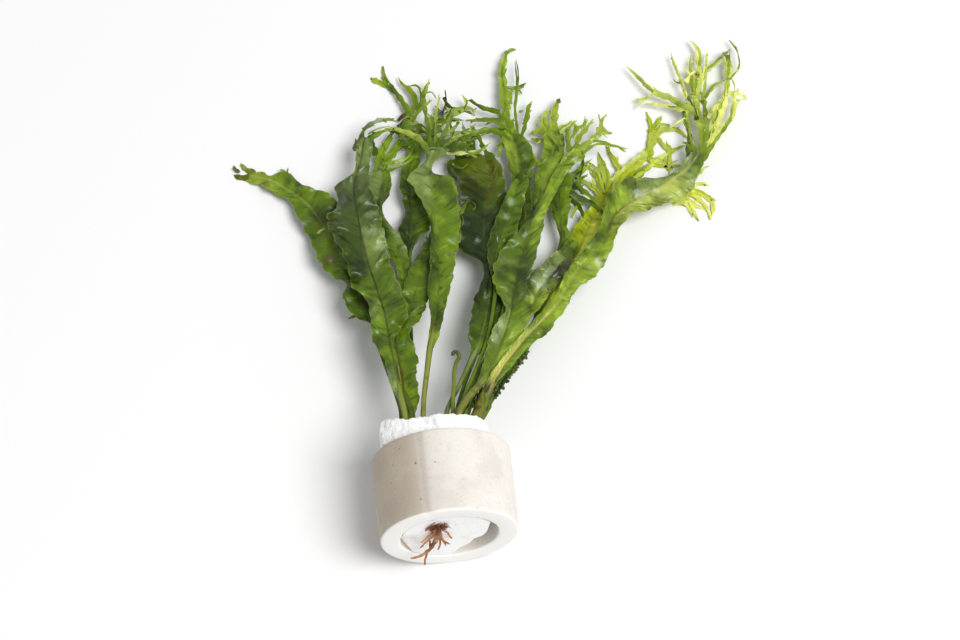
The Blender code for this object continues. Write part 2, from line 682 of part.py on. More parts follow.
class Heap:
    """The top of what lies on the surface so far, over a grid of cells."""

    LOW = np.array([-80.0, -45.0])
    SIZE = (760, 720)

    def __init__(self):
        self.top = np.full(self.SIZE, -LAYER_GAP)

    def cells(self, block):
        place = np.round((block[:, :2] - self.LOW) / CELL).astype(int)
        return place[:, 0], place[:, 1]

    def spread_top(self):
        """The top with each cell raised to its highest neighbour."""
        wide = self.top.copy()
        for dx in (-1, 0, 1):
            for dy in (-1, 0, 1):
                wide = np.maximum(wide, np.roll(self.top, (dx, dy), axis=(0, 1)))
        return wide

    def settle(self, growth):
        """Lifts the frond's rows until it clears the heap, then adds it to the heap."""
        wide = self.spread_top()
        for _ in range(SETTLE_ROUNDS):
            need = np.zeros(len(growth.rows))
            for index, before, block, share in growth.samples():
                short = wide[self.cells(block)] + LAYER_GAP - (block[:, 2] - block[:, 3] / 2)
                need[index] = max(need[index], (short * share).max())
                need[before] = max(need[before], (short * (1 - share)).max())
            self.raise_rows(growth, need)
        for _, _, block, _ in growth.samples():
            np.maximum.at(self.top, self.cells(block), block[:, 2] + block[:, 3] / 2)

    @staticmethod
    def raise_rows(growth, need):
        """Raises each row by its need, and its neighbours so that nothing turns too steep."""
        for index, row in enumerate(growth.rows):
            if not row.fixed:
                row.rise = min(row.rise + max(need[index], 0.0), MOST_RISE)
        points = [row.points().mean(axis=0) for row in growth.rows]
        order = list(range(len(growth.rows)))
        for walk in (order, order[::-1]):
            for index in walk:
                row = growth.rows[index]
                if row.before < 0:
                    continue
                back = growth.rows[row.before]
                reach = STEEPEST * np.linalg.norm((points[index] - points[row.before])[:2])
                if not row.fixed:
                    row.rise = max(row.rise, back.rise - reach)
                if not back.fixed:
                    back.rise = max(back.rise, row.rise - reach)


def material(name, colour, roughness, metallic=0.0):
    made = bpy.data.materials.new(name)
    made.use_nodes = True
    shader = made.node_tree.nodes["Principled BSDF"]
    shader.inputs["Base Color"].default_value = (*colour, 1.0)
    shader.inputs["Roughness"].default_value = roughness
    shader.inputs["Metallic"].default_value = metallic
    made.diffuse_color = (*colour, 1.0)
    return made


def finish(name, bm, parent, look, smooth_angle=40.0):
    """Makes the bmesh, which is in millimetres, one object in metres."""
    bmesh.ops.scale(bm, vec=Vector((MM, MM, MM)), verts=bm.verts)
    mesh = bpy.data.meshes.new(name)
    bm.to_mesh(mesh)
    bm.free()
    mesh.shade_smooth()
    mesh.set_sharp_from_angle(angle=math.radians(smooth_angle))
    mesh.materials.append(look)
    made = bpy.data.objects.new(name, mesh)
    bpy.context.scene.collection.objects.link(made)
    made.parent = parent
    return made


def zip_columns(back, here):
    """Triangles between two rows of columns, which may have different counts."""
    faces = []
    i = j = 0
    while i < len(back) - 1 or j < len(here) - 1:
        back_next = (i + 1) / max(len(back) - 1, 1)
        here_next = (j + 1) / max(len(here) - 1, 1)
        if j >= len(here) - 1 or (i < len(back) - 1 and back_next <= here_next):
            faces.append((back[i], back[i + 1], here[j]))
            i += 1
        else:
            faces.append((back[i], here[j + 1], here[j]))
            j += 1
    return faces


def frond_mesh(growth):
    """One closed bmesh of a frond: an upper and an under skin, joined along every margin."""
    bm = bmesh.new()
    points, normals = growth.surfaces()
    upper, under = [], []
    for block, square, row in zip(points, normals, growth.rows):
        half = row.thickness[:, None] / 2 * square
        high = block + half
        low = block - half
        low[:, 2] = np.maximum(low[:, 2], 0.0)
        high[:, 2] = np.maximum(high[:, 2], low[:, 2] + 0.2)
        upper.append([bm.verts.new(p) for p in high])
        under.append([bm.verts.new(p) for p in low])

    def wall(a_high, a_low, b_high, b_low):
        bm.faces.new((a_high, a_low, b_low))
        bm.faces.new((a_high, b_low, b_high))

    start_high, start_low = upper[0], under[0]
    for k in range(len(start_high) - 1):
        wall(start_high[k], start_low[k], start_high[k + 1], start_low[k + 1])
    for index, row in enumerate(growth.rows):
        if row.before < 0:
            continue
        span = slice(row.first, row.last + 1)
        back_high, back_low = upper[row.before][span], under[row.before][span]
        here_high, here_low = upper[index], under[index]
        for face in zip_columns(back_high, here_high):
            bm.faces.new(face)
        for a, b, c in zip_columns(back_low, here_low):
            bm.faces.new((c, b, a))
        wall(here_high[0], here_low[0], back_high[0], back_low[0])
        wall(back_high[-1], back_low[-1], here_high[-1], here_low[-1])
    bmesh.ops.recalc_face_normals(bm, faces=bm.faces)
    return bm


def make_fronds(parent):
    heap = Heap()
    for frond in FRONDS:
        growth = Growth(frond)
        heap.settle(growth)
        look = material(frond.name, frond.colour, roughness=0.35)
        finish(frond.name, frond_mesh(growth), parent, look)


def make_ring(parent):
    """The ring, turned from its wall's outline with softened edges."""
    foot, top = -RING_LENGTH, 0.0
    outline = [
        (BORE_RADIUS, foot + RING_EDGE), (BORE_RADIUS + RING_EDGE, foot),
        (RING_RADIUS - RING_EDGE, foot), (RING_RADIUS, foot + RING_EDGE),
        (RING_RADIUS, top - RING_EDGE), (RING_RADIUS - RING_EDGE, top),
        (BORE_RADIUS + RING_EDGE, top), (BORE_RADIUS, top - RING_EDGE),
    ]
    bm = bmesh.new()
    turn = math.radians(-90) + math.pi / RING_SIDES
    corners = [
        bm.verts.new((radius * math.cos(turn), y, radius * math.sin(turn))) for radius, y in outline
    ]
    edges = [bm.edges.new((corners[k - 1], corners[k])) for k in range(len(corners))]
    bmesh.ops.spin(
        bm, geom=corners + edges, cent=Vector(), axis=Vector((0, 1, 0)),
        angle=2 * math.pi, steps=RING_SIDES, use_merge=True,
    )
    bmesh.ops.remove_doubles(bm, verts=bm.verts, dist=0.001)
    bmesh.ops.translate(bm, vec=Vector((0, 0, RING_HEIGHT)), verts=bm.verts)
    bmesh.ops.recalc_face_normals(bm, faces=bm.faces)
    return finish("ceramic_ring", bm, parent, material("ceramic", (0.78, 0.75, 0.70), 0.75), 30.0)


def outline_round(reach, y):
    """A closed outline round the bore's axis; reach gives a radius at some of the turns."""
    turns = sorted(reach)
    radii = np.interp(FOAM_TURNS, turns, [reach[turn] for turn in turns], period=360)
    return [
        (radius * math.cos(math.radians(turn)), y, RING_HEIGHT + radius * math.sin(math.radians(turn)))
        for radius, turn in zip(radii, FOAM_TURNS)
    ]


def slot_outline(centre_x, centre_z, half_width, half_height, y):
    """A closed slot with rounded corners, its points opposite those of the outline round it."""
    points = []
    for turn in FOAM_TURNS:
        x, z = math.cos(math.radians(turn)), math.sin(math.radians(turn))
        points.append((
            centre_x + math.copysign(abs(x) ** SLOT_SQUARENESS, x) * half_width,
            y,
            centre_z + math.copysign(abs(z) ** SLOT_SQUARENESS, z) * half_height,
        ))
    return points


def make_foam(parent):
    """The foam: a plug in the bore with a ragged lip, an open crescent low on the right, and a slot."""
    snug = FOAM_RADIUS
    foot = {-15: 9.6, 14: 11.3, 29: 13.4, 45: snug, 135: snug, 158: 12.4, 185: 9.6, 222: 11.4, 240: 12.6,
            270: 11.3, 288: 10.0, 311: 8.8, 332: 8.0}
    inner = {-15: 12.9, 0: snug, 150: snug, 180: 12.6, 215: 13.0, 270: 12.4, 285: 11.2, 300: 9.7,
             315: 8.7, 332: 7.6, 339: 9.7}
    lip = {-15: 13.4, 0: 14.2, 30: 15.2, 75: 14.6, 105: 14.6, 128: 16.6, 150: 18.8, 172: 16.8, 195: 14.2,
           225: 13.6, 270: 12.4, 285: 11.2, 300: 9.7, 315: 8.7, 332: 7.6, 339: 9.8}
    sections = (
        (-RING_LENGTH + 1.6, foot, (-3.0, 26.0, 3.7, 3.5)),
        (-RING_LENGTH + 9.0, {**inner, 180: 11.2, 205: 11.6}, (-2.6, 25.0, 4.4, 4.2)),
        (-9.4, inner, (0.0, 22.4, 10.4, 4.4)),
        (0.35, inner, (0.3, 22.4, 11.9, 5.0)),
        (1.3, lip, (0.3, 22.4, 12.1, 5.2)),
        (4.2, {**lip, 30: 16.0, 60: 15.4, 90: 15.8, 150: 19.2}, (0.3, 22.4, 12.4, 5.6)),
        (6.8, {**lip, 45: 15.8, 90: 14.8, 150: 18.6}, (0.3, 22.5, 12.7, 6.0)),
    )
    bm = bmesh.new()
    outer, slot = [], []
    for y, reach, place in sections:
        outer.append([bm.verts.new(p) for p in outline_round(reach, y)])
        slot.append([bm.verts.new(p) for p in slot_outline(*place, y)])

    def ring_of_faces(first, second):
        for k in range(len(FOAM_TURNS)):
            bm.faces.new((first[k - 1], first[k], second[k], second[k - 1]))

    for k in range(len(sections) - 1):
        ring_of_faces(outer[k], outer[k + 1])
        ring_of_faces(slot[k], slot[k + 1])
    ring_of_faces(outer[0], slot[0])
    ring_of_faces(outer[-1], slot[-1])
    bmesh.ops.recalc_face_normals(bm, faces=bm.faces)
    return finish("foam_wrap", bm, parent, material("foam", (0.93, 0.93, 0.92), 0.9), 50.0)


def tube(points, radii, sides):
    """A closed tube through the points, round but faceted."""
    bm = bmesh.new()
    points = [Vector(p) for p in points]
    loops = []
    for k, (point, radius) in enumerate(zip(points, radii)):
        way = (points[min(k + 1, len(points) - 1)] - points[max(k - 1, 0)]).normalized()
        turn = way.to_track_quat("Z", "Y").to_matrix().to_4x4()
        place = Matrix.Translation(point) @ turn
        loops.append([
            bm.verts.new(place @ Vector((radius * math.cos(t), radius * math.sin(t), 0)))
            for t in np.linspace(0, 2 * math.pi, sides, endpoint=False)
        ])
    for first, second in zip(loops, loops[1:]):
        for k in range(sides):
            bm.faces.new((first[k - 1], first[k], second[k], second[k - 1]))
    bm.faces.new(loops[0])
    bm.faces.new(loops[-1])
    bmesh.ops.recalc_face_normals(bm, faces=bm.faces)
    return bm


# Roots beyond the foam: the root's thickness, and photo x and y and the depth y of each point
ROOT_CROWN = (-3.0, -22.5, 25.6)
ROOT_TIP_RADIUS = 0.22
ROOTS = (
    (1.5, ((438, 534, -24.6), (433, 545, -26.2), (427, 553, -27.6), (417, 557, -28.6), (410, 559, -29.2))),
    (0.8, ((427, 553, -27.6), (425, 558, -28.8), (425, 565, -29.6))),
    (0.9, ((436, 531, -24.4), (428, 537, -25.4), (421, 543, -26.6))),
    (0.8, ((435, 534, -24.6), (427, 541, -25.8), (420, 548, -27.2))),
    (0.9, ((440, 535, -24.6), (444, 543, -25.8), (446, 546, -26.6))),
    (1.0, ((439, 536, -24.6), (440, 544, -25.8), (438, 550, -26.8))),
    (0.7, ((445, 529, -24.2), (449, 535, -25.0), (452, 538, -25.6))),
    (0.8, ((434, 525, -24.0), (428, 528, -24.6), (425, 531, -25.2))),
    (0.7, ((444, 541, -25.6), (446, 543, -26.6), (450, 544, -27.2))),
)


def make_rhizome(parent):
    """The rhizome across the foam's slot, a stalk of roots to the foot, and the roots themselves."""
    across = np.linspace(-9.6, 9.8, 9)
    lumps = [RHIZOME_RADIUS * (0.75 + 0.2 * math.sin(2.1 * k)) for k in range(len(across))]
    core = tube([(x, RHIZOME_Y, RHIZOME_Z) for x in across], lumps, 8)
    stalk = [(-0.6, RHIZOME_Y, RHIZOME_Z), (-2.0, -11.0, 23.8), (-3.0, -18.0, 25.4), (-3.0, -24.6, 26.0)]
    shapes = [tube(stalk, (1.9, 2.2, 2.4, 2.6), 8)]
    for thickness, route in ROOTS:
        spots = [at_depth(x, y, depth) for x, y, depth in route]
        if route[0][2] > -RING_LENGTH:
            spots.insert(0, ROOT_CROWN)
        radii = np.linspace(thickness / 2, ROOT_TIP_RADIUS, len(spots))
        shapes.append(tube(spots, radii, 5))
    look = material("rhizome", (0.24, 0.10, 0.04), 0.7)
    body = finish("rhizome_with_roots", core, parent, look)
    for index, shape in enumerate(shapes):
        helper = finish(f"root_shape_{index}", shape, parent, look)
        helper.hide_render = True
        helper.display_type = "WIRE"
        union = body.modifiers.new(f"root {index}", "BOOLEAN")
        union.operation = "UNION"
        union.solver = "EXACT"
        union.object = helper
    return body


def make_crozier(parent):
    """The young frond, still curled at its tip like a shepherd's crook."""
    seen = ((453, 413), (453, 398), (454, 384), (454, 370), (456, 360))
    stem = [at_height(x, y, CROZIER_HEIGHT - 0.35 * k) for k, (x, y) in enumerate(seen)]
    base = np.array([0.6, STEM_START_Y, 25.4])
    lip = base + (stem[0] - base) * 0.55
    turns = ((0.9, 1.9, 0.1), (0.2, 3.0, 0.3), (-1.0, 2.7, 0.5), (-1.2, 1.9, 0.6))
    curl = [stem[-1] + np.array(turn) for turn in turns]
    radii = (0.62, 0.62, 0.65, 0.6, 0.6, 0.62, 0.62, 0.62, 0.6, 0.55, 0.35)
    bm = tube([base, lip] + stem + curl, radii, 8)
    return finish("crozier", bm, parent, material("crozier", (0.2, 0.3, 0.04), 0.4))


def clear_scene():
    for old in list(bpy.data.objects):
        bpy.data.objects.remove(old, do_unlink=True)


def centre_on_surface(rig):
    """Puts the origin on the surface, under the middle of the whole object."""
    bpy.context.view_layer.update()
    solids = [made for made in bpy.data.objects if made.type == "MESH" and not made.hide_render]
    corners = np.array([made.matrix_world @ Vector(c) for made in solids for c in made.bound_box])
    low, high = corners.min(axis=0), corners.max(axis=0)
    rig.location = (-(low[0] + high[0]) / 2, -(low[1] + high[1]) / 2, -low[2])


def main():
    clear_scene()
    rig = bpy.data.objects.new("plant", None)
    bpy.context.scene.collection.objects.link(rig)
    make_ring(rig)
    make_foam(rig)
    make_rhizome(rig)
    make_crozier(rig)
    make_fronds(rig)
    centre_on_surface(rig)


main()
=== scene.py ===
"""The looks of a crested java fern in a ceramic planting ring, lying on a white surface.

Lengths are millimetres until a mesh is made, which is in metres. A place on the plant is written
as the point of the photograph that shows it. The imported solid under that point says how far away
it is, so that every leaf lies on its own solid.
"""

import logging
import math
from collections.abc import Callable, Iterable, Sequence
from dataclasses import dataclass
from enum import Enum

import bpy
import numpy as np
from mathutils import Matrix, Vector, noise
from mathutils.bvhtree import BVHTree


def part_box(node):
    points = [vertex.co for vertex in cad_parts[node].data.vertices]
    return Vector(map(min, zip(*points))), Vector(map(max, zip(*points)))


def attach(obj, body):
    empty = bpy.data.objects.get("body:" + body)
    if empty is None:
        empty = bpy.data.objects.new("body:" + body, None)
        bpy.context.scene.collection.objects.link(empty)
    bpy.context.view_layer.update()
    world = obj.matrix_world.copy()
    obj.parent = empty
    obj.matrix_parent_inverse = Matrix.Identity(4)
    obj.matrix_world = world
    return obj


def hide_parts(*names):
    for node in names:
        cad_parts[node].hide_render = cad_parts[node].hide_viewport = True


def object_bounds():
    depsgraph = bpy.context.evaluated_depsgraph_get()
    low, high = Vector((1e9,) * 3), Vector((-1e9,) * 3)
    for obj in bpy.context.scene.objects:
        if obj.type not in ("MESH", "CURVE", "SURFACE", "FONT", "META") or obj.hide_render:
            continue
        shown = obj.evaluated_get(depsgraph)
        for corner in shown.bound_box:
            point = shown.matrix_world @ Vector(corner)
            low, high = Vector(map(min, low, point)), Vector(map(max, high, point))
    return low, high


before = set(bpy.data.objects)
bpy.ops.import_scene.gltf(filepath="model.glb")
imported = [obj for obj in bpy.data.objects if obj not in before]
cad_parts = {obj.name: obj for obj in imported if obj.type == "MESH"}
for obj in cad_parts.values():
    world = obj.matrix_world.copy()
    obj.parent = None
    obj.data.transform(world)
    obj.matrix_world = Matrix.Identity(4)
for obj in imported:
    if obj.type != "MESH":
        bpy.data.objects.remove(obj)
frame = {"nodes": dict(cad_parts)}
CAD_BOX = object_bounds()

log = logging.getLogger("java_fern")

MM = 0.001
FULL_TURN = 2 * math.pi
ROOT_BODY = "root"

Array = np.ndarray
Piece = bpy.types.Object
Material = bpy.types.Material
Facts = dict[str, Array]
Box = tuple[Array, Array]
Spot = tuple[float, float]
Row = tuple[float, ...]
Colour = tuple[float, float, float]
Stops = tuple[tuple[float, Colour], ...]


def paint(red: int, green: int, blue: int) -> Colour:
    """A colour given as it looks on a screen, from 0 to 255, as the light it reflects."""
    return tuple(((c / 255 + 0.055) / 1.055) ** 2.4 if c > 10 else c / 3295 for c in (red, green, blue))


# The plant's colours. SHEEN_GREY is partly painted sheen, and PAINTED_SHINE is a painted highlight.
BOTTLE = paint(34, 50, 6)
MOSS = paint(58, 80, 8)
LEAF = paint(82, 108, 10)
FRESH = paint(102, 130, 14)
LIME = paint(134, 158, 38)
PALE_LIME = paint(182, 196, 88)
YELLOW = paint(166, 182, 14)
LEMON = paint(206, 218, 66)
CREAM = paint(220, 228, 116)
OLIVE = paint(84, 100, 2)
SLATE = paint(78, 92, 44)
# A grey-green: partly the leaves' own grey tone, partly painted milky sheen where they catch the light.
SHEEN_GREY = paint(122, 142, 72)
STRAW = paint(134, 144, 58)
KHAKI = paint(116, 120, 34)
TAN = paint(200, 188, 106)
# A painted highlight: the soft whitish reflection on wet leaves.
PAINTED_SHINE = paint(196, 210, 170)
RUST = paint(88, 66, 20)
BARK = paint(58, 46, 20)
INK = paint(40, 36, 26)


class Slot(Enum):
    """The record's material slots."""

    CERAMIC = "ceramic"
    FOAM = "foam"
    ROOT = "root"
    YOUNG_STEM = "young_stem"
    LEAF = "leaf"
    YELLOW_LEAF = "yellow_leaf"
    DARK_LEAF = "dark_leaf"
    GREY_LEAF = "grey_leaf"


def sign(operation: str, turned: bool = False) -> "Callable[..., Wire]":
    """Makes the method of Wire for one of Python's signs.

    Args:
        operation: the Math node's operation.
        turned: whether the other value comes first.

    Returns:
        The method.
    """

    def reckon(wire: "Wire", *others: "Wire | float") -> "Wire":
        """Adds a Math node on this and the others."""
        terms = [*others, wire] if turned else [wire, *others]
        return wire.graph.node("ShaderNodeMath", {"operation": operation}, terms)

    return reckon


class Wire:
    """A shader socket that Python's signs can reckon with. Each sign adds one Math node."""

    __add__ = __radd__ = sign("ADD")
    __sub__ = sign("SUBTRACT")
    __rsub__ = sign("SUBTRACT", turned=True)
    __mul__ = __rmul__ = sign("MULTIPLY")
    __truediv__ = sign("DIVIDE")
    __abs__ = sign("ABSOLUTE")
    most = sign("MAXIMUM")
    sine = sign("SINE")

    def __init__(self, graph: "Graph", socket: bpy.types.NodeSocket) -> None:
        """Holds the socket and the graph that its sums go into."""
        self.graph = graph
        self.socket = socket

    def step(self, low: float, high: float) -> "Wire":
        """A smooth step.

        Args:
            low: where the step is 0.
            high: where it is 1. It may be under low, and the step then falls.

        Returns:
            The step, from 0 to 1.
        """
        if high < low:
            return 1 - self.step(high, low)
        sockets = {"Value": self, "From Min": low, "From Max": high}
        return self.graph.node("ShaderNodeMapRange", {"interpolation_type": "SMOOTHSTEP"}, sockets)


class Graph:
    """The node tree of one material."""

    def __init__(self, name: str) -> None:
        """Starts an empty material of that name."""
        self.material = bpy.data.materials.new(name)
        self.material.use_nodes = True
        self.tree = self.material.node_tree
        self.tree.nodes.clear()

    def node(self, kind: str, settings: dict | None = None, sockets: Sequence | dict = (),
             out: str | int = 0) -> Wire:
        """Adds a node.

        Args:
            kind: the node's type.
            settings: its properties, and a ramp's stops as (place, colour) pairs under "stops".
            sockets: a list of its inputs in order, or a dict by name, as values or wires.
            out: the output that is wanted, by name or number.

        Returns:
            That output.
        """
        made = self.tree.nodes.new(kind)
        for key, value in (settings or {}).items():
            if key == "stops":
                self.set_stops(made.color_ramp, value)
            else:
                setattr(made, key, value)
        for key, value in sockets.items() if isinstance(sockets, dict) else enumerate(sockets):
            self.feed(self.pick(made.inputs, key), value)
        return Wire(self, self.pick(made.outputs, out))

    @staticmethod
    def set_stops(ramp: bpy.types.ColorRamp, stops: Stops) -> None:
        """Gives a ramp its stops.

        Args:
            ramp: the ramp.
            stops: (place, colour) pairs, from left to right.
        """
        while len(ramp.elements) < len(stops):
            ramp.elements.new(1.0)
        for element, (place, colour) in zip(ramp.elements, stops):
            element.position = place
            element.color = (*colour, 1.0)

    @staticmethod
    def pick(sockets: Sequence[bpy.types.NodeSocket], key: str | int) -> bpy.types.NodeSocket:
        """The socket with that number, identifier or name."""
        if isinstance(key, int):
            return sockets[key]
        return next(socket for socket in sockets if key in (socket.identifier, socket.name))

    def feed(self, socket: bpy.types.NodeSocket, value: Wire | float | Sequence[float]) -> None:
        """Links a wire to an input, or writes a plain value on it.

        Args:
            socket: the input.
            value: the wire or value.
        """
        if isinstance(value, Wire):
            self.tree.links.new(value.socket, socket)
        elif isinstance(value, (int, float)):
            socket.default_value = value
        else:
            socket.default_value = (*value, 1.0) if socket.type == "RGBA" else tuple(value)

    def mix(self, share: Wire, first: Wire | Colour, second: Wire | Colour, way: str = "MIX") -> Wire:
        """Mixes two colours.

        Args:
            share: how much of the second, from 0 to 1.
            first: the colour below.
            second: the colour above.
            way: the Mix node's blend type.

        Returns:
            The mixed colour.
        """
        sockets = {"Factor_Float": share, "A_Color": first, "B_Color": second}
        return self.node("ShaderNodeMix", {"data_type": "RGBA", "blend_type": way}, sockets, "Result_Color")

    def ramp(self, stops: Stops, where: Wire) -> Wire:
        """The colour that a ramp with these stops has there."""
        return self.node("ShaderNodeValToRGB", {"stops": stops}, [where])

    def place(self) -> Wire:
        """A point's place on the piece, in metres."""
        return self.node("ShaderNodeTexCoord", out="Object")

    def parts_of(self, vector: Wire) -> list[Wire]:
        """The three numbers of a vector."""
        split = self.node("ShaderNodeSeparateXYZ", sockets=[vector])
        return [Wire(self, output) for output in split.socket.node.outputs]

    def fact(self, name: str) -> list[Wire]:
        """The three numbers of one of the mesh's vector attributes."""
        return self.parts_of(self.node("ShaderNodeAttribute", {"attribute_name": name}, out="Vector"))

    def cloud(self, where: Wire, size: float, detail: float = 3.0, rough: float = 0.6, *,
              seed: float) -> Wire:
        """A noise from 0 to 1.

        Args:
            where: the place that it is read at, in metres.
            size: its lumps' size in millimetres.
            detail: how many finer layers it has.
            rough: how strong those are.
            seed: picks another noise.

        Returns:
            The noise.
        """
        fine = 1 / (size * MM)
        sockets = {"Vector": where, "W": seed, "Scale": fine, "Detail": detail, "Roughness": rough}
        return self.node("ShaderNodeTexNoise", {"noise_dimensions": "4D"}, sockets, "Fac")

    def cells(self, where: Wire, size: float, feature: str = "F1") -> Wire:
        """Distances in a pattern of cells.

        Args:
            where: the place that it is read at, in metres.
            size: the cells' size in millimetres.
            feature: "F1" for the middle's distance or "DISTANCE_TO_EDGE" for the edge's.

        Returns:
            The distance, in cell sizes.
        """
        sockets = {"Vector": where, "Scale": 1 / (size * MM)}
        return self.node("ShaderNodeTexVoronoi", {"feature": feature}, sockets, "Distance")

    def bump(self, height: Wire, depth: float, strength: float = 1.0) -> Wire:
        """A normal tilted by a height pattern.

        Args:
            height: the pattern, from 0 to 1.
            depth: how deep that is, in millimetres.
            strength: how much of it shows.

        Returns:
            The normal.
        """
        sockets = {"Height": height, "Distance": depth * MM, "Strength": strength}
        return self.node("ShaderNodeBump", sockets=sockets)

    def spotted(self, colour: Wire, stain: "StainAndShine", middle: Array, place: Wire, fine: Wire) -> Wire:
        """The colour with one spot over it, uneven at its edge: a stain, a speck or a painted highlight.

        Args:
            colour: the colour below.
            stain: the spot.
            middle: where the spot's middle is, in metres.
            place: where the colour is.
            fine: a fine noise.

        Returns:
            The colour with the spot.
        """
        ends = [place, tuple(middle)]
        away = self.node("ShaderNodeVectorMath", {"operation": "DISTANCE"}, ends, "Value")
        share = (away / (stain.reach * MM) + (fine - 0.5) * stain.UNEVEN).step(stain.OUTSIDE, stain.INSIDE)
        return self.mix(share * stain.strength, colour, stain.colour)

    def close(self, **sockets: Wire | float | Sequence[float]) -> Material:
        """Ends the material in one Principled shader.

        Args:
            sockets: its inputs, by name with an underscore for each space.

        Returns:
            The material.
        """
        named = {key.replace("_", " "): value for key, value in sockets.items()}
        shader = self.node("ShaderNodeBsdfPrincipled", sockets=named)
        output = self.tree.nodes.new("ShaderNodeOutputMaterial")
        self.feed(output.inputs["Surface"], shader)
        return self.material


@dataclass(frozen=True)
class StainAndShine:
    """A spot of another colour: a stain or a speck, or on a leaf a painted highlight.

    x and y are the photo point of its middle, and reach is in millimetres. Its share of the
    colour falls from INSIDE to OUTSIDE, in reaches, and UNEVEN frays that edge.
    """

    x: float
    y: float
    reach: float
    colour: Colour
    strength: float

    INSIDE = 0.2
    OUTSIDE = 1.25
    UNEVEN = 2.2


class Sight:
    """The photograph's own view: where its camera stood, and what each of its points looks at.

    Places are in the working frame, in millimetres: the ring's axis on Y with its leaf end at
    y = 0, and the surface at z = 0.
    """

    EYE = np.array([-18.3, -267.2, 612.6])
    AZIMUTH = math.radians(-6.33)
    ELEVATION = math.radians(62.23)
    FOCAL = 2258.0
    CENTRE = (480.0, 320.0)
    WIDTH = 960
    SENSOR = 36.0

    def __init__(self) -> None:
        """Works out the view's directions, and the working frame's place from the ring's box."""
        turn, rise = self.AZIMUTH, self.ELEVATION
        self.right = np.array([math.cos(turn), math.sin(turn), 0.0])
        flat = math.cos(rise)
        self.back = np.array([math.sin(turn) * flat, -math.cos(turn) * flat, math.sin(rise)])
        self.up = np.cross(self.back, self.right)
        low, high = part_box("ceramic_ring")
        self.shift = np.array([(low.x + high.x) / 2, high.y, 0.0]) / MM
        self.scale = self.FOCAL * math.sin(rise) / self.EYE[2]

    def ray(self, spots: Array) -> Array:
        """Directions from the eye through photo points, each one millimetre deep.

        Args:
            spots: photo x and y in the last axis.

        Returns:
            The directions, in the same shape but three long.
        """
        across = (spots[..., 0] - self.CENTRE[0]) / self.FOCAL
        rise = (self.CENTRE[1] - spots[..., 1]) / self.FOCAL
        return -self.back + across[..., None] * self.right + rise[..., None] * self.up

    def at(self, spots: Array, depth: Array) -> Array:
        """The places that the photo shows at its points, at these depths from the eye."""
        return self.EYE + self.ray(spots) * np.asarray(depth)[..., None]

    def depth(self, places: Array) -> Array:
        """How deep places lie behind the eye."""
        return -(places - self.EYE) @ self.back

    def spots(self, places: Array) -> Array:
        """The photo points that show these places."""
        away = (places - self.EYE) / self.depth(places)[..., None]
        rise = self.CENTRE[1] - self.FOCAL * (away @ self.up)
        return np.stack([self.CENTRE[0] + self.FOCAL * (away @ self.right), rise], axis=-1)

    def on_plane(self, spot: Spot, y: float) -> Array:
        """The place on the plane of that y that the photo shows at a point."""
        way = self.ray(np.array(spot, float))
        return self.EYE + way * (y - self.EYE[1]) / way[1]

    def metres(self, places: Array) -> Array:
        """Places in the row frame, in metres."""
        return (places + self.shift) * MM

    def corners(self, piece: Piece) -> Array:
        """A piece's points as places in the working frame."""
        return np.array([vertex.co for vertex in piece.data.vertices]) / MM - self.shift

    def move(self, piece: Piece, places: Array) -> None:
        """Moves a piece's points to these places."""
        piece.data.vertices.foreach_set("co", self.metres(places).astype(np.float32).ravel())
        piece.data.update()


class Solid:
    """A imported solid, which says how deep each photo point of its piece lies."""

    NEAREST_ROUNDS = 4
    SLICE = 0.7

    def __init__(self, sight: Sight, nodes: Iterable[Piece]) -> None:
        """Gathers the nodes' triangles, in millimetres of the working frame."""
        self.sight = sight
        points, faces = [], []
        for node in nodes:
            start = len(points)
            points.extend(sight.corners(node).tolist())
            faces.extend([[start + k for k in face.vertices] for face in node.data.polygons])
        self.tree = BVHTree.FromPolygons(points, faces)
        self.points = np.array(points)
        self.seen = sight.spots(self.points)
        self.depths = sight.depth(self.points)

    def depth_at(self, spot: Array) -> float:
        """How deep the solid's near side lies at a photo point, or its closest part beside it.

        Args:
            spot: the photo point.

        Returns:
            The depth in millimetres.
        """
        way = Vector(self.sight.ray(spot))
        eye = Vector(self.sight.EYE)
        hit, _, _, _ = self.tree.ray_cast(eye, way.normalized())
        if hit is not None:
            return float(self.sight.depth(np.array(hit)))
        near = np.argmin(((self.seen - spot) ** 2).sum(axis=1))
        depth = float(self.depths[near])
        for _ in range(self.NEAREST_ROUNDS):
            found, _, _, _ = self.tree.find_nearest(eye + way * depth)
            depth = float((found - eye).dot(way) / way.dot(way))
        return depth

    def depths_at(self, spots: Array) -> Array:
        """The depth at each of many photo points."""
        flat = spots.reshape(-1, 2)
        return np.array([self.depth_at(spot) for spot in flat]).reshape(spots.shape[:-1])

    def metres_at(self, x: float, y: float) -> Array:
        """The place that a photo point shows on the solid, in metres."""
        spot = np.array((x, y), float)
        return self.sight.metres(self.sight.at(spot, self.depth_at(spot)))

    def room_at(self, place: Array, way: Array, limit: float) -> float:
        """How far a place may move that way before it meets the solid, at most the limit."""
        _, _, _, distance = self.tree.ray_cast(Vector(place), Vector(way).normalized(), limit)
        return limit if distance is None else distance

    def middle_at(self, y: float) -> Array:
        """The middle of the solid's corners near a plane of that y."""
        return self.points[np.abs(self.points[:, 1] - y) < self.SLICE].mean(axis=0)


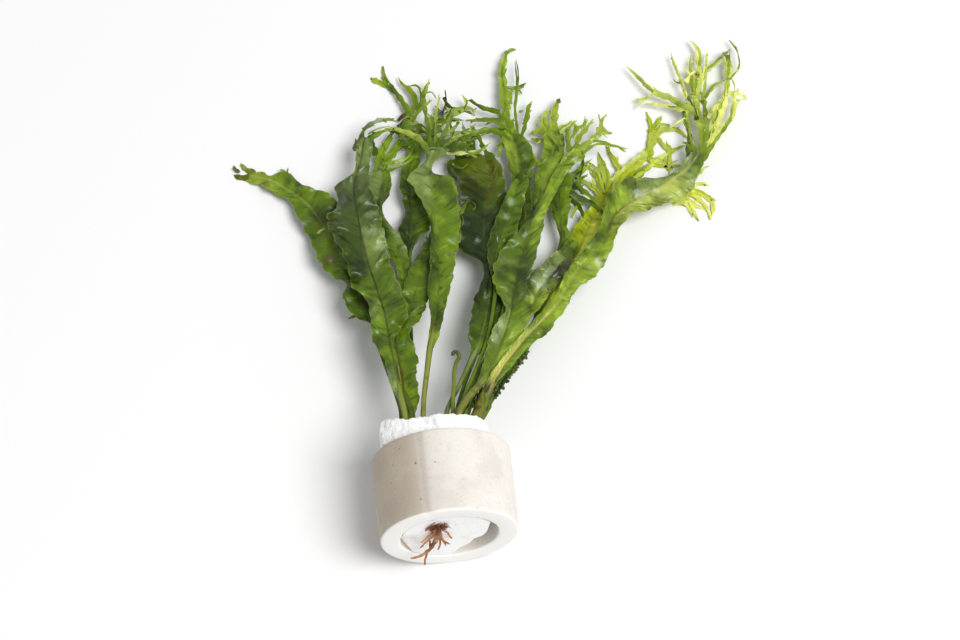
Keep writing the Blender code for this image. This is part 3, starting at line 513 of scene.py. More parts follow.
def smooth_line(points: Array, places: Array, wanted: Array) -> Array:
    """A smooth line through points.

    Args:
        points: the points, one a row.
        places: each point's distance along the line.
        wanted: the distances that are wanted.

    Returns:
        The line's points at those distances.
    """
    gaps = np.diff(places)
    slopes = np.diff(points, axis=0) / gaps[:, None]
    ways = np.empty_like(points)
    ways[0], ways[-1] = slopes[0], slopes[-1]
    before, after = gaps[:-1, None], gaps[1:, None]
    ways[1:-1] = (slopes[:-1] * after + slopes[1:] * before) / (before + after)
    left = np.clip(np.searchsorted(places, wanted, side="right") - 1, 0, len(places) - 2)
    width = gaps[left][:, None]
    t = ((wanted - places[left]) / gaps[left])[:, None]
    first, second = points[left], points[left + 1]
    return (
        (2 * t**3 - 3 * t**2 + 1) * first + (t**3 - 2 * t**2 + t) * width * ways[left]
        + (3 * t**2 - 2 * t**3) * second + (t**3 - t**2) * width * ways[left + 1]
    )


def distances(points: Array) -> Array:
    """How far along a line each of its points is."""
    return np.concatenate([[0.0], np.cumsum(np.linalg.norm(np.diff(points, axis=0), axis=1))])


def even_line(points: Array, count: int) -> Array:
    """A smooth line of that many points, evenly apart, through these."""
    places = distances(points)
    return smooth_line(points, places, np.linspace(0, places[-1], count))


def soften(field_: Array, rounds: int, axis: int = 0) -> Array:
    """Evens out a field of numbers along one axis, and leaves its ends."""
    out = np.moveaxis(field_.astype(float), axis, 0).copy()
    for _ in range(rounds):
        out[1:-1] = (out[:-2] + 2 * out[1:-1] + out[2:]) / 4
    return np.moveaxis(out, 0, axis)


def together(first: Array, second: Array, third: Array | float) -> Array:
    """Three fields, of shapes that fit each other, as one field of vectors."""
    return np.stack(np.broadcast_arrays(first, second, third), axis=-1)


class Bench:
    """The modelling steps that every piece shares."""

    CREASE = math.radians(55)

    @staticmethod
    def pick(*pieces: Piece) -> None:
        """Selects these objects alone, and makes the first the active one."""
        bpy.ops.object.select_all(action="DESELECT")
        for piece in pieces:
            piece.select_set(True)
        bpy.context.view_layer.objects.active = pieces[0]

    @staticmethod
    def carry(piece: Piece, facts: Facts) -> None:
        """Gives a piece's points these vectors, by attribute name."""
        for fact, values in facts.items():
            layer = piece.data.attributes.new(fact, "FLOAT_VECTOR", "POINT")
            layer.data.foreach_set("vector", values.astype(np.float32).ravel())

    @classmethod
    def sheet(cls, name: str, places: Array, facts: Facts) -> Piece:
        """Adds a grid and moves its points to their places, row by row.

        Args:
            name: the object's name.
            places: its points in metres, by row and column.
            facts: vectors that its points carry, by attribute name.

        Returns:
            The new object.
        """
        rows, columns = places.shape[:2]
        bpy.ops.object.select_all(action="DESELECT")
        bpy.ops.mesh.primitive_grid_add(x_subdivisions=columns - 1, y_subdivisions=rows - 1, size=1)
        made = bpy.context.active_object
        made.name = name
        made.data.name = name
        made.data.vertices.foreach_set("co", places.astype(np.float32).ravel())
        cls.carry(made, facts)
        made.data.update()
        return made

    @classmethod
    def tube(cls, name: str, line: Array, across: Array, high: Array, wide_way: Array, facts: Facts,
             sides: int) -> Piece:
        """Rolls a grid into a closed tube round a line.

        Args:
            name: the object's name.
            line: the middle line's points, in metres.
            across: half the tube's width at each point, in millimetres.
            high: half its height at each point, in millimetres.
            wide_way: a direction that the width is near to.
            facts: vectors that its points carry, in the shape of the rolled grid.
            sides: how many sides it has.

        Returns:
            The new object.
        """
        ways = np.gradient(line, axis=0)
        ways /= np.linalg.norm(ways, axis=1, keepdims=True)
        side = wide_way - (ways @ wide_way)[:, None] * ways
        side /= np.linalg.norm(side, axis=1, keepdims=True)
        top = np.cross(ways, side)
        turns = np.linspace(0, FULL_TURN, sides + 1)
        wide = across * MM
        tall = high * MM
        wide[[0, -1]] = 0.0
        tall[[0, -1]] = 0.0
        ring = (
            line[:, None] + side[:, None] * (wide[:, None] * np.cos(turns))[..., None]
            + top[:, None] * (tall[:, None] * np.sin(turns))[..., None]
        )
        made = cls.sheet(name, ring, facts)
        cls.close_up(made)
        return made

    @classmethod
    def close_up(cls, piece: Piece, gap: float = 1e-7) -> None:
        """Merges a piece's doubled points and turns its faces outwards.

        Args:
            piece: the piece.
            gap: the distance that counts as doubled, in metres.
        """
        cls.pick(piece)
        bpy.ops.object.mode_set(mode="EDIT")
        bpy.ops.mesh.select_all(action="SELECT")
        bpy.ops.mesh.remove_doubles(threshold=gap)
        bpy.ops.mesh.normals_make_consistent(inside=False)
        bpy.ops.object.mode_set(mode="OBJECT")

    @classmethod
    def join(cls, name: str, pieces: list[Piece]) -> Piece:
        """Joins pieces into the first, and names it.

        Args:
            name: the joined piece's name.
            pieces: what is joined.

        Returns:
            The joined piece.
        """
        cls.pick(*pieces)
        if len(pieces) > 1:
            bpy.ops.object.join()
        pieces[0].name = name
        pieces[0].data.name = name
        return pieces[0]

    @classmethod
    def modify(cls, piece: Piece, kind: str, **settings: float | str) -> None:
        """Adds a modifier to a piece and applies it.

        Args:
            piece: the piece.
            kind: the modifier's type.
            settings: its settings.
        """
        cls.pick(piece)
        modifier = piece.modifiers.new(kind.title(), kind)
        for key, value in settings.items():
            setattr(modifier, key, value)
        bpy.ops.object.modifier_apply(modifier=modifier.name)

    @classmethod
    def hand_over(cls, piece: Piece, node: str, slot: Slot, material: Material) -> None:
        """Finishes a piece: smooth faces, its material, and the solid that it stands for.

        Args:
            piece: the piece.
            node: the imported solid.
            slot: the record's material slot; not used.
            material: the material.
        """
        cls.pick(piece)
        bpy.ops.object.shade_smooth_by_angle(angle=cls.CREASE)
        piece.data.materials.clear()
        piece.data.materials.append(material)
        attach(piece, ROOT_BODY)
        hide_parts(node)
        log.info("%s: %d faces", piece.name, len(piece.data.polygons))


@dataclass(frozen=True)
class LeafFinish:
    """The looks of one frond.

    left and right colour the halves of the blade along the frond, from 0 at the foam to 1 at the
    blade's end. crest holds the ribbons' pale, usual and dark colours, and stains holds spots of
    other colours: real marks and painted highlights.
    """

    left: Stops
    right: Stops
    rib: Stops
    crest: tuple[Colour, Colour, Colour]
    gloss: float = 0.4
    sheen: float = 0.15
    rib_fade: float = 0.4
    stains_and_shine: tuple[StainAndShine, ...] = ()

    VEIN_GAP = 2.7
    VEIN_LEAN = 0.8
    VEIN_WANDER = 1.6
    VEIN_DARK = 0.08
    BROAD = 11.0
    PATCH = 4.5
    FINE = 2.4
    STREAK = 1.3
    STREAK_STRETCH = 0.3
    DEEP = paint(124, 132, 70)
    PALE = paint(150, 168, 60)
    LIFT = (1.7, 1.6, 1.8)
    DEPTH = 0.5
    RELIEF = 0.7

    def material(self, name: str, middles: list[Array]) -> Material:
        """Makes the frond's material.

        Args:
            name: the material's name.
            middles: where each spot's middle is, in metres.

        Returns:
            The material.
        """
        graph = Graph(name)
        across, along, shade = graph.fact("leaf")
        across_mm, along_mm, kind = graph.fact("span")
        place = graph.place()
        seed = float(sum(map(ord, name)) % 97)
        broad = graph.cloud(place, self.BROAD, rough=0.5, seed=seed)
        patch = graph.cloud(place, self.PATCH, 2.0, 0.5, seed=seed + 11)
        fine = graph.cloud(place, self.FINE, 4.0, seed=seed + 5)
        in_leaf = [along_mm - abs(across_mm) * self.VEIN_LEAN, across_mm * self.STREAK_STRETCH, shade]
        leaf_place = graph.node("ShaderNodeCombineXYZ", sockets=in_leaf)
        streak = graph.cloud(leaf_place, self.STREAK / MM, 2.0, 0.5, seed=seed + 3)
        is_rib = kind.step(0.4, 0.6) * kind.step(1.6, 1.4)
        is_ribbon = kind.step(1.4, 1.6)
        is_blade = (1 - is_ribbon) * (1 - is_rib)
        vein = self.veins(across_mm, along_mm, fine) * is_blade
        blade = self.blade(graph, across, along, broad)
        blade = graph.mix(vein * self.VEIN_DARK, blade, self.DEEP, "MULTIPLY")
        blade = graph.mix(streak.step(0.52, 0.7) * 0.65, blade, self.DEEP, "MULTIPLY")
        blade = graph.mix(streak.step(0.46, 0.3) * 0.4, blade, self.LIFT, "MULTIPLY")
        blade = graph.mix(abs(across).step(0.93, 1.0) * 0.35, blade, self.PALE)
        colour = graph.mix(is_ribbon, blade, self.ribbons(graph, along, shade, broad, fine))
        rib = graph.mix(along.step(0.35, 0.6) * self.rib_fade, self.ribs(graph, across, along, fine), blade)
        near_rib = (abs(across_mm) + (fine - 0.5) * 0.6).step(0.6, 0.2) * (1 - is_ribbon)
        colour = graph.mix(is_rib.most(near_rib * 0.6), colour, rib)
        colour = graph.mix(broad.step(0.5, 0.68) * 0.8, colour, self.DEEP, "MULTIPLY")
        colour = graph.mix(patch.step(0.5, 0.7) * 0.7 * (1 - is_rib), colour, self.LIFT, "MULTIPLY")
        # Real marks, and on some fronds painted highlights and sheen, over the colour.
        for stain, middle in zip(self.stains_and_shine, middles):
            colour = graph.spotted(colour, stain, middle, place, fine)
        height = fine * 0.4 + patch * 0.8 + streak * 0.7 * is_blade - vein * 0.12
        return graph.close(
            Base_Color=colour, Roughness=(fine - 0.5) * 0.3 + self.gloss,
            Normal=graph.bump(height, self.DEPTH, self.RELIEF), Specular_IOR_Level=0.32,
            Coat_Weight=self.sheen, Coat_Roughness=0.22,
            Subsurface_Weight=0.2, Subsurface_Radius=(0.6, 1.0, 0.1), Subsurface_Scale=MM,
        )

    def veins(self, across_mm: Wire, along_mm: Wire, fine: Wire) -> Wire:
        """The side veins, which lean from the midrib towards the tip: 1 on a vein."""
        where = along_mm - abs(across_mm) * self.VEIN_LEAN + fine * self.VEIN_WANDER
        return (where * (FULL_TURN / self.VEIN_GAP)).sine().step(0.8, 1.0)

    def blade(self, graph: Graph, across: Wire, along: Wire, broad: Wire) -> Wire:
        """The blade's own colour."""
        where = along + (broad - 0.5) * 0.1
        side = (across + (broad - 0.5) * 0.4).step(-0.15, 0.15)
        return graph.mix(side, graph.ramp(self.left, where), graph.ramp(self.right, where))

    def ribbons(self, graph: Graph, along: Wire, shade: Wire, broad: Wire, fine: Wire) -> Wire:
        """The crest's colour: dark to pale from each ribbon's base to its tip, and brown past the dark."""
        pale, usual, dark = self.crest
        stops = ((0.1, pale), (0.36, usual), (0.62, dark), (0.8, BARK), (1.0, INK))
        where = shade / 1.5 - (along - 1.4) * 0.2 + (broad - 0.5) * 0.35 + (fine - 0.5) * 0.2
        return graph.ramp(stops, where)

    def ribs(self, graph: Graph, across: Wire, along: Wire, fine: Wire) -> Wire:
        """The stem's and midrib's colour, browner along its sides."""
        side = (abs(across) + (fine - 0.5) * 0.9).step(0.5, 0.95)
        return graph.mix(side * 0.6, graph.ramp(self.rib, along), BARK)


@dataclass
class Ribbon:
    """A ribbon of a crest.

    route holds its photo points, width is in millimetres, shade goes from 0 for pale to 1 for
    dark and above that for brown, and forks holds the rows of the ribbons that fork from its end.
    """

    route: Array
    width: float
    shade: float
    forks: tuple[Row, ...] = ()

    @classmethod
    def of(cls, row: Row) -> "Ribbon":
        """The ribbon that a row stands for."""
        forks = row[-1] if isinstance(row[-1], tuple) else ()
        numbers = row[2:-1] if forks else row[2:]
        return cls(np.array(numbers, float).reshape(-1, 2), row[0], row[1], forks)


@dataclass(frozen=True)
class Frond:
    """One leaf: its stem, blade and crest as the photograph shows them.

    A stem row is photo x, photo y and width. A blade row is the photo points of the left margin,
    the midrib and the right margin. A ribbon's row is its width, its shade, its photo points and
    its forks. crest grows from the blade's end, and strands start anywhere. Each x is followed by
    its y. ruffle is how strongly the margins curl, and wave how long their curls are.
    """

    node: str
    slot: Slot
    stem: tuple[Row, ...]
    blade: tuple[Row, ...]
    crest: tuple[Row, ...]
    finish: LeafFinish
    strands: tuple[Row, ...] = ()
    ruffle: float = 0.7
    wave: float = 7.0
    spores: bool = False


@dataclass
class Growth:
    """A frond as it is modelled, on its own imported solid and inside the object's box."""

    frond: Frond
    sight: Sight
    own: Solid
    others: Solid
    box: Box

    ROW_GAP = 0.65
    COLUMNS = 23
    THICKNESS = 0.26
    RIBBON_THICKNESS = 0.15
    SOLID_DEPTH = 0.2
    # The margins' waves: how much of the blade's width, and how long
    MARGIN_WAVES = ((0.05, 4.3), (0.025, 1.9))
    # The ruffles: how high, how close to the margin, and how their beat and phase differ
    RUFFLES = ((1.6, 2, 1, 1, 0), (1.1, 1.5, 0.47, 0.6, 1), (0.45, 3, 2.3, 1.7, 0))
    # The swellings: how fine, which noise, and how high
    SWELLS = ((0.11, 5.2, 1.3), (0.28, 0.4, 0.8), (0.7, 9.1, 0.25))
    HOLLOW = 0.25
    HOLLOW_GAP = 5.4
    HOLLOW_LEAN = 0.8
    FOLD = 0.5
    LIFT = 1.15
    FREE_ROOM = 5.5
    ROOM_SHARE = 0.45
    FLOOR_GAP = 0.25
    RIBBON_GAP = 0.55
    RIBBON_COLUMNS = np.linspace(-1, 1, 5)
    TIP = 0.16
    # What chance gives a ribbon: its tilt, twist, cup, waves, beats, rise and shade, each from low to high
    TILT = (-0.45, 0.45)
    TWIST = (-0.7, 0.7)
    CUP = (-0.15, 0.3)
    WAVE = (0.1, 0.4)
    BEATS = (4, 11)
    RISE = (-0.2, 0.2)
    SHADE = (-0.14, 0.14)
    # Ribbons narrower than BARE have no barbs, and chance leaves out that share of the others' barbs
    BARE = 1.1
    BARBLESS = 0.3
    BARB_GAP = 3.6
    BARB_SHIFT = (-0.05, 0.05)
    BARB_LEAN = (0.4, 0.85)
    BARB_REACH = (1.6, 3.6)
    BARB_BEND = (-0.3, 0.7)
    BARB_WIDTH = (0.45, 0.7)
    LIP_Y = 8.0
    ROOT_Y = -1.9
    HIDDEN_STEPS = 12
    # How far past the stem the midrib narrows, on the photo, and how wide it is there and at its end
    RIB_MARKS = (14, 60)
    RIB_WIDTH = 0.55
    RIB_END = 0.3
    RIB_SIDES = 10
    STEM_FLATNESS = 0.6
    SPORE_GAP = 0.8

    def __post_init__(self) -> None:
        """Starts the frond's own random numbers, and gives the blade's rows a start and a narrowed tip."""
        self.random = np.random.default_rng(sum(map(ord, self.frond.node)))
        self.scale = self.sight.scale
        self.stem = np.array(self.frond.stem, float)
        rows = np.array(self.frond.blade, float).reshape(-1, 3, 2)
        x, y, width = self.stem[-1]
        half = width * self.scale / 2
        start = np.array([[x - half, y], [x, y], [x + half, y]])
        ahead = rows[-1, 1] - rows[-2, 1]
        ahead /= np.linalg.norm(ahead)
        tip = rows[-1, 1] + (rows[-1] - rows[-1, 1]) * 0.55 + ahead * 3.0
        self.rows = np.concatenate([[start], rows, [tip]])
        self.route = np.concatenate([self.stem[:, :2], rows[:, 1]])
        self.stem_length = float(distances(self.stem[:, :2])[-1])
        self.length = float(distances(self.route)[-1])

    def build(self) -> Piece:
        """Models the frond, and joins its parts into one piece."""
        blade, depths = self.make_blade()
        ribbons = self.make_crest(self.frond.crest, self.rows[-2])
        for row in self.frond.strands:
            strand = Ribbon.of(row)
            start, strand.route = strand.route[0], strand.route[1:]
            ribbons += self.make_ribbon(strand, start, strand.width * 0.8)
        Bench.modify(blade, "SOLIDIFY", thickness=self.THICKNESS * MM, offset=0.0)
        rib = self.make_rib(depths)
        crest = Bench.join("crest", ribbons)
        Bench.modify(crest, "SOLIDIFY", thickness=self.RIBBON_THICKNESS * MM, offset=0.0)
        spores = self.make_spores() if self.frond.spores else []
        return Bench.join(self.frond.node.replace("frond_", "") + "_leaf", [blade, rib, crest, *spores])

    def phase(self) -> float:
        """Where a wave starts, at random."""
        return self.random.uniform(0, 6)

    def make_blade(self) -> tuple[Piece, Array]:
        """Models the blade as a sheet that lies on its solid, with ruffles and hollows.

        Returns:
            The sheet, and its midrib's depths.
        """
        stations = distances(self.rows[:, 1])
        count = int(stations[-1] / self.scale / self.ROW_GAP)
        wanted = np.linspace(0, stations[-1], count)
        left, middle, right = (smooth_line(self.rows[:, k], stations, wanted) for k in range(3))
        along_mm = (self.stem_length + wanted) / self.scale
        across = np.linspace(-1, 1, self.COLUMNS)
        spots = np.empty((count, self.COLUMNS, 2))
        (deep, long), (small, short) = self.MARGIN_WAVES
        for side, margin in ((-1, left), (1, right)):
            reach = 1 + deep * np.sin(along_mm * FULL_TURN / long + side * 2 + self.phase())
            reach += small * np.sin(along_mm * FULL_TURN / short + self.phase())
            for k in np.flatnonzero(across * side >= 0):
                spots[:, k] = middle + (margin - middle) * (abs(across[k]) * reach)[:, None]
        wide = np.linalg.norm(right - left, axis=1) / self.scale / 2
        depths = soften(self.own.depths_at(spots) + self.SOLID_DEPTH, 10)
        depths = soften(depths, 2, axis=1)
        relief = self.relief(across, along_mm, wide) + self.lumps(spots / self.scale)
        relief = np.clip(relief * self.LIFT, *self.room(spots, depths))
        depths = depths - soften(relief, 2)
        facts = {
            "leaf": together(across[None], (along_mm * self.scale / self.length)[:, None], 0.5),
            "span": together(across[None] * wide[:, None], along_mm[:, None], 0.0),
        }
        return self.sheet(self.frond.node, spots, depths, facts), depths[:, self.COLUMNS // 2]

    def sheet(self, name: str, spots: Array, depths: Array, facts: Facts) -> Piece:
        """Adds a sheet, kept inside the object's box and off the surface.

        Args:
            name: the sheet's name.
            spots: the photo points of its points, by row and column.
            depths: their depths.
            facts: what its points carry.

        Returns:
            The sheet.
        """
        gap = self.FLOOR_GAP * MM
        places = self.sight.metres(self.sight.at(spots, depths))
        return Bench.sheet(name, np.clip(places, self.box[0] + gap, self.box[1] - gap), facts)

    def relief(self, across: Array, along_mm: Array, wide: Array) -> Array:
        """How far the blade rises towards the eye: ruffled margins, a low midrib and hollows between veins.

        Args:
            across: each column's place, from -1 to 1.
            along_mm: each row's place.
            wide: half the blade's width at each row.

        Returns:
            The rise by row and column, in millimetres.
        """
        edge = np.abs(across)[None]
        along = along_mm[:, None]
        beat = FULL_TURN * along / self.frond.wave
        seed = float(self.random.uniform(0, 50))
        wander = np.array([noise.noise((y * 0.11, seed, 0.0)) for y in along_mm])[:, None]
        starts = self.random.uniform(0, 6, 2)
        phase = np.where(across < 0, starts[0], starts[1])[None] + 5 * wander
        grow = np.clip(wide / 4, 0.15, 1)[:, None]
        rise = 0.0
        for height, power, beats, phases, start in self.RUFFLES:
            swing = np.sin(beat * beats + phase * phases + start)
            rise = rise + height * self.frond.ruffle * edge**power * swing * grow
        between = along - np.abs(across * wide[:, None]) * self.HOLLOW_LEAN
        veins = np.sin(between * 2 * np.pi / self.HOLLOW_GAP + 3 * wander)
        hollows = self.HOLLOW * veins * np.sin(np.pi * edge) * grow
        return rise + hollows + self.FOLD * np.minimum(edge * 3, 1) * grow

    def lumps(self, spots_mm: Array) -> Array:
        """Soft uneven swellings of the blade, in millimetres."""
        rise = [
            sum(noise.noise((x * fine, y * fine, seed)) * height for fine, seed, height in self.SWELLS)
            for x, y in spots_mm.reshape(-1, 2)
        ]
        return np.array(rise).reshape(spots_mm.shape[:-1])

    def room(self, spots: Array, depths: Array) -> Box:
        """How far each point may sink and rise before it meets another piece or the surface.

        Args:
            spots: the photo points.
            depths: their depths.

        Returns:
            The lowest and the highest rise.
        """
        places = self.sight.at(spots, depths).reshape(-1, 3)
        ways = self.sight.ray(spots).reshape(-1, 3)
        sink = np.array([self.others.room_at(p, w, self.FREE_ROOM) for p, w in zip(places, ways)])
        rise = np.array([self.others.room_at(p, -w, self.FREE_ROOM) for p, w in zip(places, ways)])
        sink = np.minimum(sink, np.maximum(places[:, 2] - self.FLOOR_GAP, 0))
        return -self.ROOM_SHARE * sink.reshape(depths.shape), self.ROOM_SHARE * rise.reshape(depths.shape)

    def make_crest(self, rows: tuple[Row, ...], end: Array) -> list[Piece]:
        """Grows ribbons from the end of the blade or of another ribbon.

        Args:
            rows: the ribbons' rows.
            end: the photo points across what they grow from.

        Returns:
            The ribbons' sheets.
        """
        places = distances(end)
        marks = np.linspace(0, places[-1], len(rows) + 1)
        spans = np.stack([np.interp(marks, places, end[:, k]) for k in range(2)], axis=1)
        sheets = []
        for row, first, second in zip(rows, spans, spans[1:]):
            ribbon = Ribbon.of(row)
            width = max(np.linalg.norm(second - first) / self.scale, ribbon.width)
            sheets += self.make_ribbon(ribbon, (first + second) / 2, width)
        return sheets

    def make_ribbon(self, ribbon: Ribbon, base: Array, base_width: float, is_barb: bool = False,
                    ) -> list[Piece]:
        """Models one ribbon, cupped and a little twisted, then its barbs and the ribbons that fork from it.

        Args:
            ribbon: the ribbon.
            base: the photo point that it grows from.
            base_width: how wide it is there.
            is_barb: whether it is a barb, which has no barbs of its own.

        Returns:
            The sheets.
        """
        draw = self.random.uniform
        route = np.vstack([base, ribbon.route])
        stations = distances(route)
        count = max(6, int(stations[-1] / self.scale / self.RIBBON_GAP))
        wanted = np.linspace(0, stations[-1], count)
        line = smooth_line(route, stations, wanted)
        share = wanted / stations[-1]
        wide = ribbon.width
        end_width = wide * 0.5 if ribbon.forks else min(self.TIP, wide * 0.5)
        widths = np.interp(share, (0, stations[1] / stations[-1] * 0.6, 0.7, 0.93, 1),
                           (base_width * 0.85, wide * 0.8, wide * 0.6, end_width * 2, end_width))
        widths *= 1 + 0.22 * np.sin(share * stations[-1] / self.scale * 1.9 + self.phase())
        way = np.gradient(line, axis=0)
        way /= np.linalg.norm(way, axis=1, keepdims=True)
        side = np.stack([-way[:, 1], way[:, 0]], axis=1)
        half = widths[:, None] / 2
        across = self.RIBBON_COLUMNS[None]
        spots = line[:, None] + side[:, None] * (across * half * self.scale)[..., None]
        depths = soften(self.own.depths_at(line) + self.SOLID_DEPTH, 6)
        tilt = draw(*self.TILT) + draw(*self.TWIST) * share
        cup = draw(*self.CUP) * (1 - across**2) * half
        wavy = draw(*self.WAVE) * np.sin(share * draw(*self.BEATS) + self.phase())
        rise = cup + across * half * np.tan(tilt)[:, None] + wavy[:, None] * share[:, None]
        depths = depths[:, None] - rise + draw(*self.RISE)
        facts = {
            "leaf": together(across, 1 + share[:, None], ribbon.shade + draw(*self.SHADE)),
            "span": together(across * half, wanted[:, None] / self.scale, 2.0),
        }
        sheets = [self.sheet("ribbon", spots, depths, facts)]
        if wide > self.BARE and not is_barb:
            for barb, start in self.barbs(ribbon, line, way, side):
                sheets += self.make_ribbon(barb, start, barb.width, is_barb=True)
        if ribbon.forks:
            sheets += self.make_crest(ribbon.forks, spots[-1, [0, -1]])
        return sheets

    def barbs(self, ribbon: Ribbon, line: Array, way: Array, side: Array) -> list[tuple[Ribbon, Array]]:
        """Short points that stand off a ribbon's sides and tip, like an antler's.

        Args:
            ribbon: the ribbon.
            line: its middle line, as photo points.
            way: the line's directions.
            side: the directions across it.

        Returns:
            Each barb, and the photo point that it grows from.
        """
        draw = self.random.uniform
        length = distances(line)[-1] / self.scale
        found = []
        hand = self.random.choice((-1.0, 1.0))
        for share in (*np.arange(0.35, 0.8, self.BARB_GAP / max(length, 0.1)), 0.86):
            k = int((share + draw(*self.BARB_SHIFT)) * (len(line) - 1))
            hand = -hand
            if draw() < self.BARBLESS:
                continue
            lean = draw(*self.BARB_LEAN)
            ahead = way[k] * math.cos(lean) + side[k] * hand * math.sin(lean)
            shorter = min(1.0, 0.3 + ribbon.width * 0.35)
            reach = draw(*self.BARB_REACH) * shorter * (1.2 - share) * self.scale
            bend = ahead + way[k] * draw(*self.BARB_BEND)
            middle = line[k] + ahead * reach * 0.5
            width = max(0.4, ribbon.width * draw(*self.BARB_WIDTH))
            barb = Ribbon(np.array([middle, middle + bend * reach * 0.5]), width, ribbon.shade * 0.85)
            found.append((barb, line[k]))
        return found

    def make_rib(self, depths: Array) -> Piece:
        """Models the stem from the rhizome to the blade, and the midrib that it becomes.

        Args:
            depths: the depths of the sheet's midrib.

        Returns:
            The tube.
        """
        stem_end, width = self.stem_length, self.stem[:, 2]
        stations = distances(self.route)
        count = int(stations[-1] / self.scale / self.ROW_GAP) + 2
        wanted = np.linspace(0, stations[-1], count)
        spots = smooth_line(self.route, stations, wanted)
        marks = [*distances(self.stem[:, :2]), *(stem_end + mark for mark in self.RIB_MARKS), stations[-1]]
        at_marks = [*width, max(width[-1] * 0.65, 0.8), self.RIB_WIDTH, self.RIB_END]
        widths = np.interp(wanted, marks, at_marks)
        low = self.own.depths_at(spots) + widths * self.STEM_FLATNESS / 2
        blade_start = np.linspace(stem_end, stem_end + distances(self.rows[:, 1])[-1], len(depths))
        on_blade = np.interp(wanted, blade_start, depths) - 0.02
        share = np.clip((wanted - stem_end) / 12 + 0.5, 0, 1)
        line = self.sight.at(spots, soften(low * (1 - share) + on_blade * share, 4))
        steps = np.linspace(0, 1, self.HIDDEN_STEPS)[:, None]
        inside = self.own.middle_at(self.ROOT_Y) * (1 - steps) + self.own.middle_at(self.LIP_Y) * steps
        line = soften(np.concatenate([inside, line]), 3)
        half = np.concatenate([np.full(self.HIDDEN_STEPS, widths[0]), widths]) / 2
        across = np.cos(np.linspace(0, FULL_TURN, self.RIB_SIDES + 1))[None]
        along = np.concatenate([np.zeros(self.HIDDEN_STEPS), wanted / self.length])[:, None]
        facts = {
            "leaf": together(across, along, 0.5),
            "span": together(across * half[:, None], along * self.length, 1.0),
        }
        line = self.sight.metres(line)
        high = half * self.STEM_FLATNESS
        return Bench.tube("rib", line, half, high, self.sight.right, facts, self.RIB_SIDES)

    def make_spores(self) -> list[Piece]:
        """Knobs along the right margin, where the frond bears its spores."""
        margin = self.rows[1:-1, 2]
        stations = distances(margin)
        knobs = []
        wanted = np.arange(1.0, stations[-1], self.SPORE_GAP)
        for k, spot in enumerate(smooth_line(margin, stations, wanted)):
            spot = spot + (np.array([math.sin(k * 2.4), math.cos(k * 3.1)]) * 1.9 - [0.8, 0.0])
            place = self.sight.metres(self.sight.at(spot, self.own.depth_at(spot) - 0.1))
            radius = (0.38 + 0.16 * math.sin(k * 1.9)) * MM
            bpy.ops.object.select_all(action="DESELECT")
            bpy.ops.mesh.primitive_ico_sphere_add(subdivisions=2, radius=radius, location=place)
            bpy.ops.object.transform_apply(location=True, rotation=True, scale=True)
            knob = bpy.context.active_object
            each = np.ones((len(knob.data.vertices), 1))
            Bench.carry(knob, {"leaf": each * (1.0, 1.0, 0.55), "span": each * (2.0, 1.0, 2.0)})
            knobs.append(knob)
        return knobs


FAR_LEFT = Frond(
    "frond_far_left", Slot.LEAF,
    stem=((402, 412, 1.5), (396, 393, 1.5), (388, 370, 1.6), (380, 347, 1.8)),
    blade=(
        (371, 324, 373, 326, 380, 322), (355, 317, 366, 310, 376, 305), (343, 298, 358, 293, 372, 290),
        (347, 284, 350, 278, 365, 270), (333, 277, 344, 262, 358, 252), (319, 262, 334, 243, 350, 232),
        (313, 246, 325, 228, 342, 220), (305, 230, 317, 216, 338, 207), (297, 215, 308, 206, 332, 196),
        (289, 200, 298, 197, 316, 189), (279, 196, 287, 190, 302, 184), (269, 190, 278, 184, 286, 172),
        (257, 184, 264, 178, 270, 176), (246, 181, 251, 176, 258, 172),
    ),
    crest=((2.4, 0.5, 238, 177, 233, 175), (2.4, 0.5, 244, 168, 241, 163)),
    strands=(
        (1, 0, 325, 229, 320, 231, 316, 240, 314, 246), (1, 1, 357, 316, 352, 317, 348, 319),
        (1.6, 0.5, 288, 177, 284, 172, 281, 169), (1.4, 0.5, 240, 172, 236, 170, 234, 168),
    ),
    ruffle=0.5,
    finish=LeafFinish(
        left=((0.3, MOSS), (0.5, LEAF), (0.75, LEAF), (0.85, FRESH), (0.94, LIME)),
        right=((0.3, LEAF), (0.45, MOSS), (0.6, LEAF), (0.75, LEAF), (0.85, FRESH), (1, LIME)),
        rib=((0.3, LEAF), (0.6, SHEEN_GREY), (1, PALE_LIME)), crest=(PALE_LIME, OLIVE, BARK),
        stains_and_shine=(
            StainAndShine(330, 259, 2.6, RUST, 0.7), StainAndShine(365, 302, 3, BARK, 0.8),
            StainAndShine(268, 184, 2.2, RUST, 0.45), StainAndShine(246, 177, 1.8, RUST, 0.5),
            # The LIME spot is a painted glint.
            StainAndShine(322, 222, 2, RUST, 0.35), StainAndShine(328, 197, 1.6, LIME, 0.7),
        ),
    ),
)

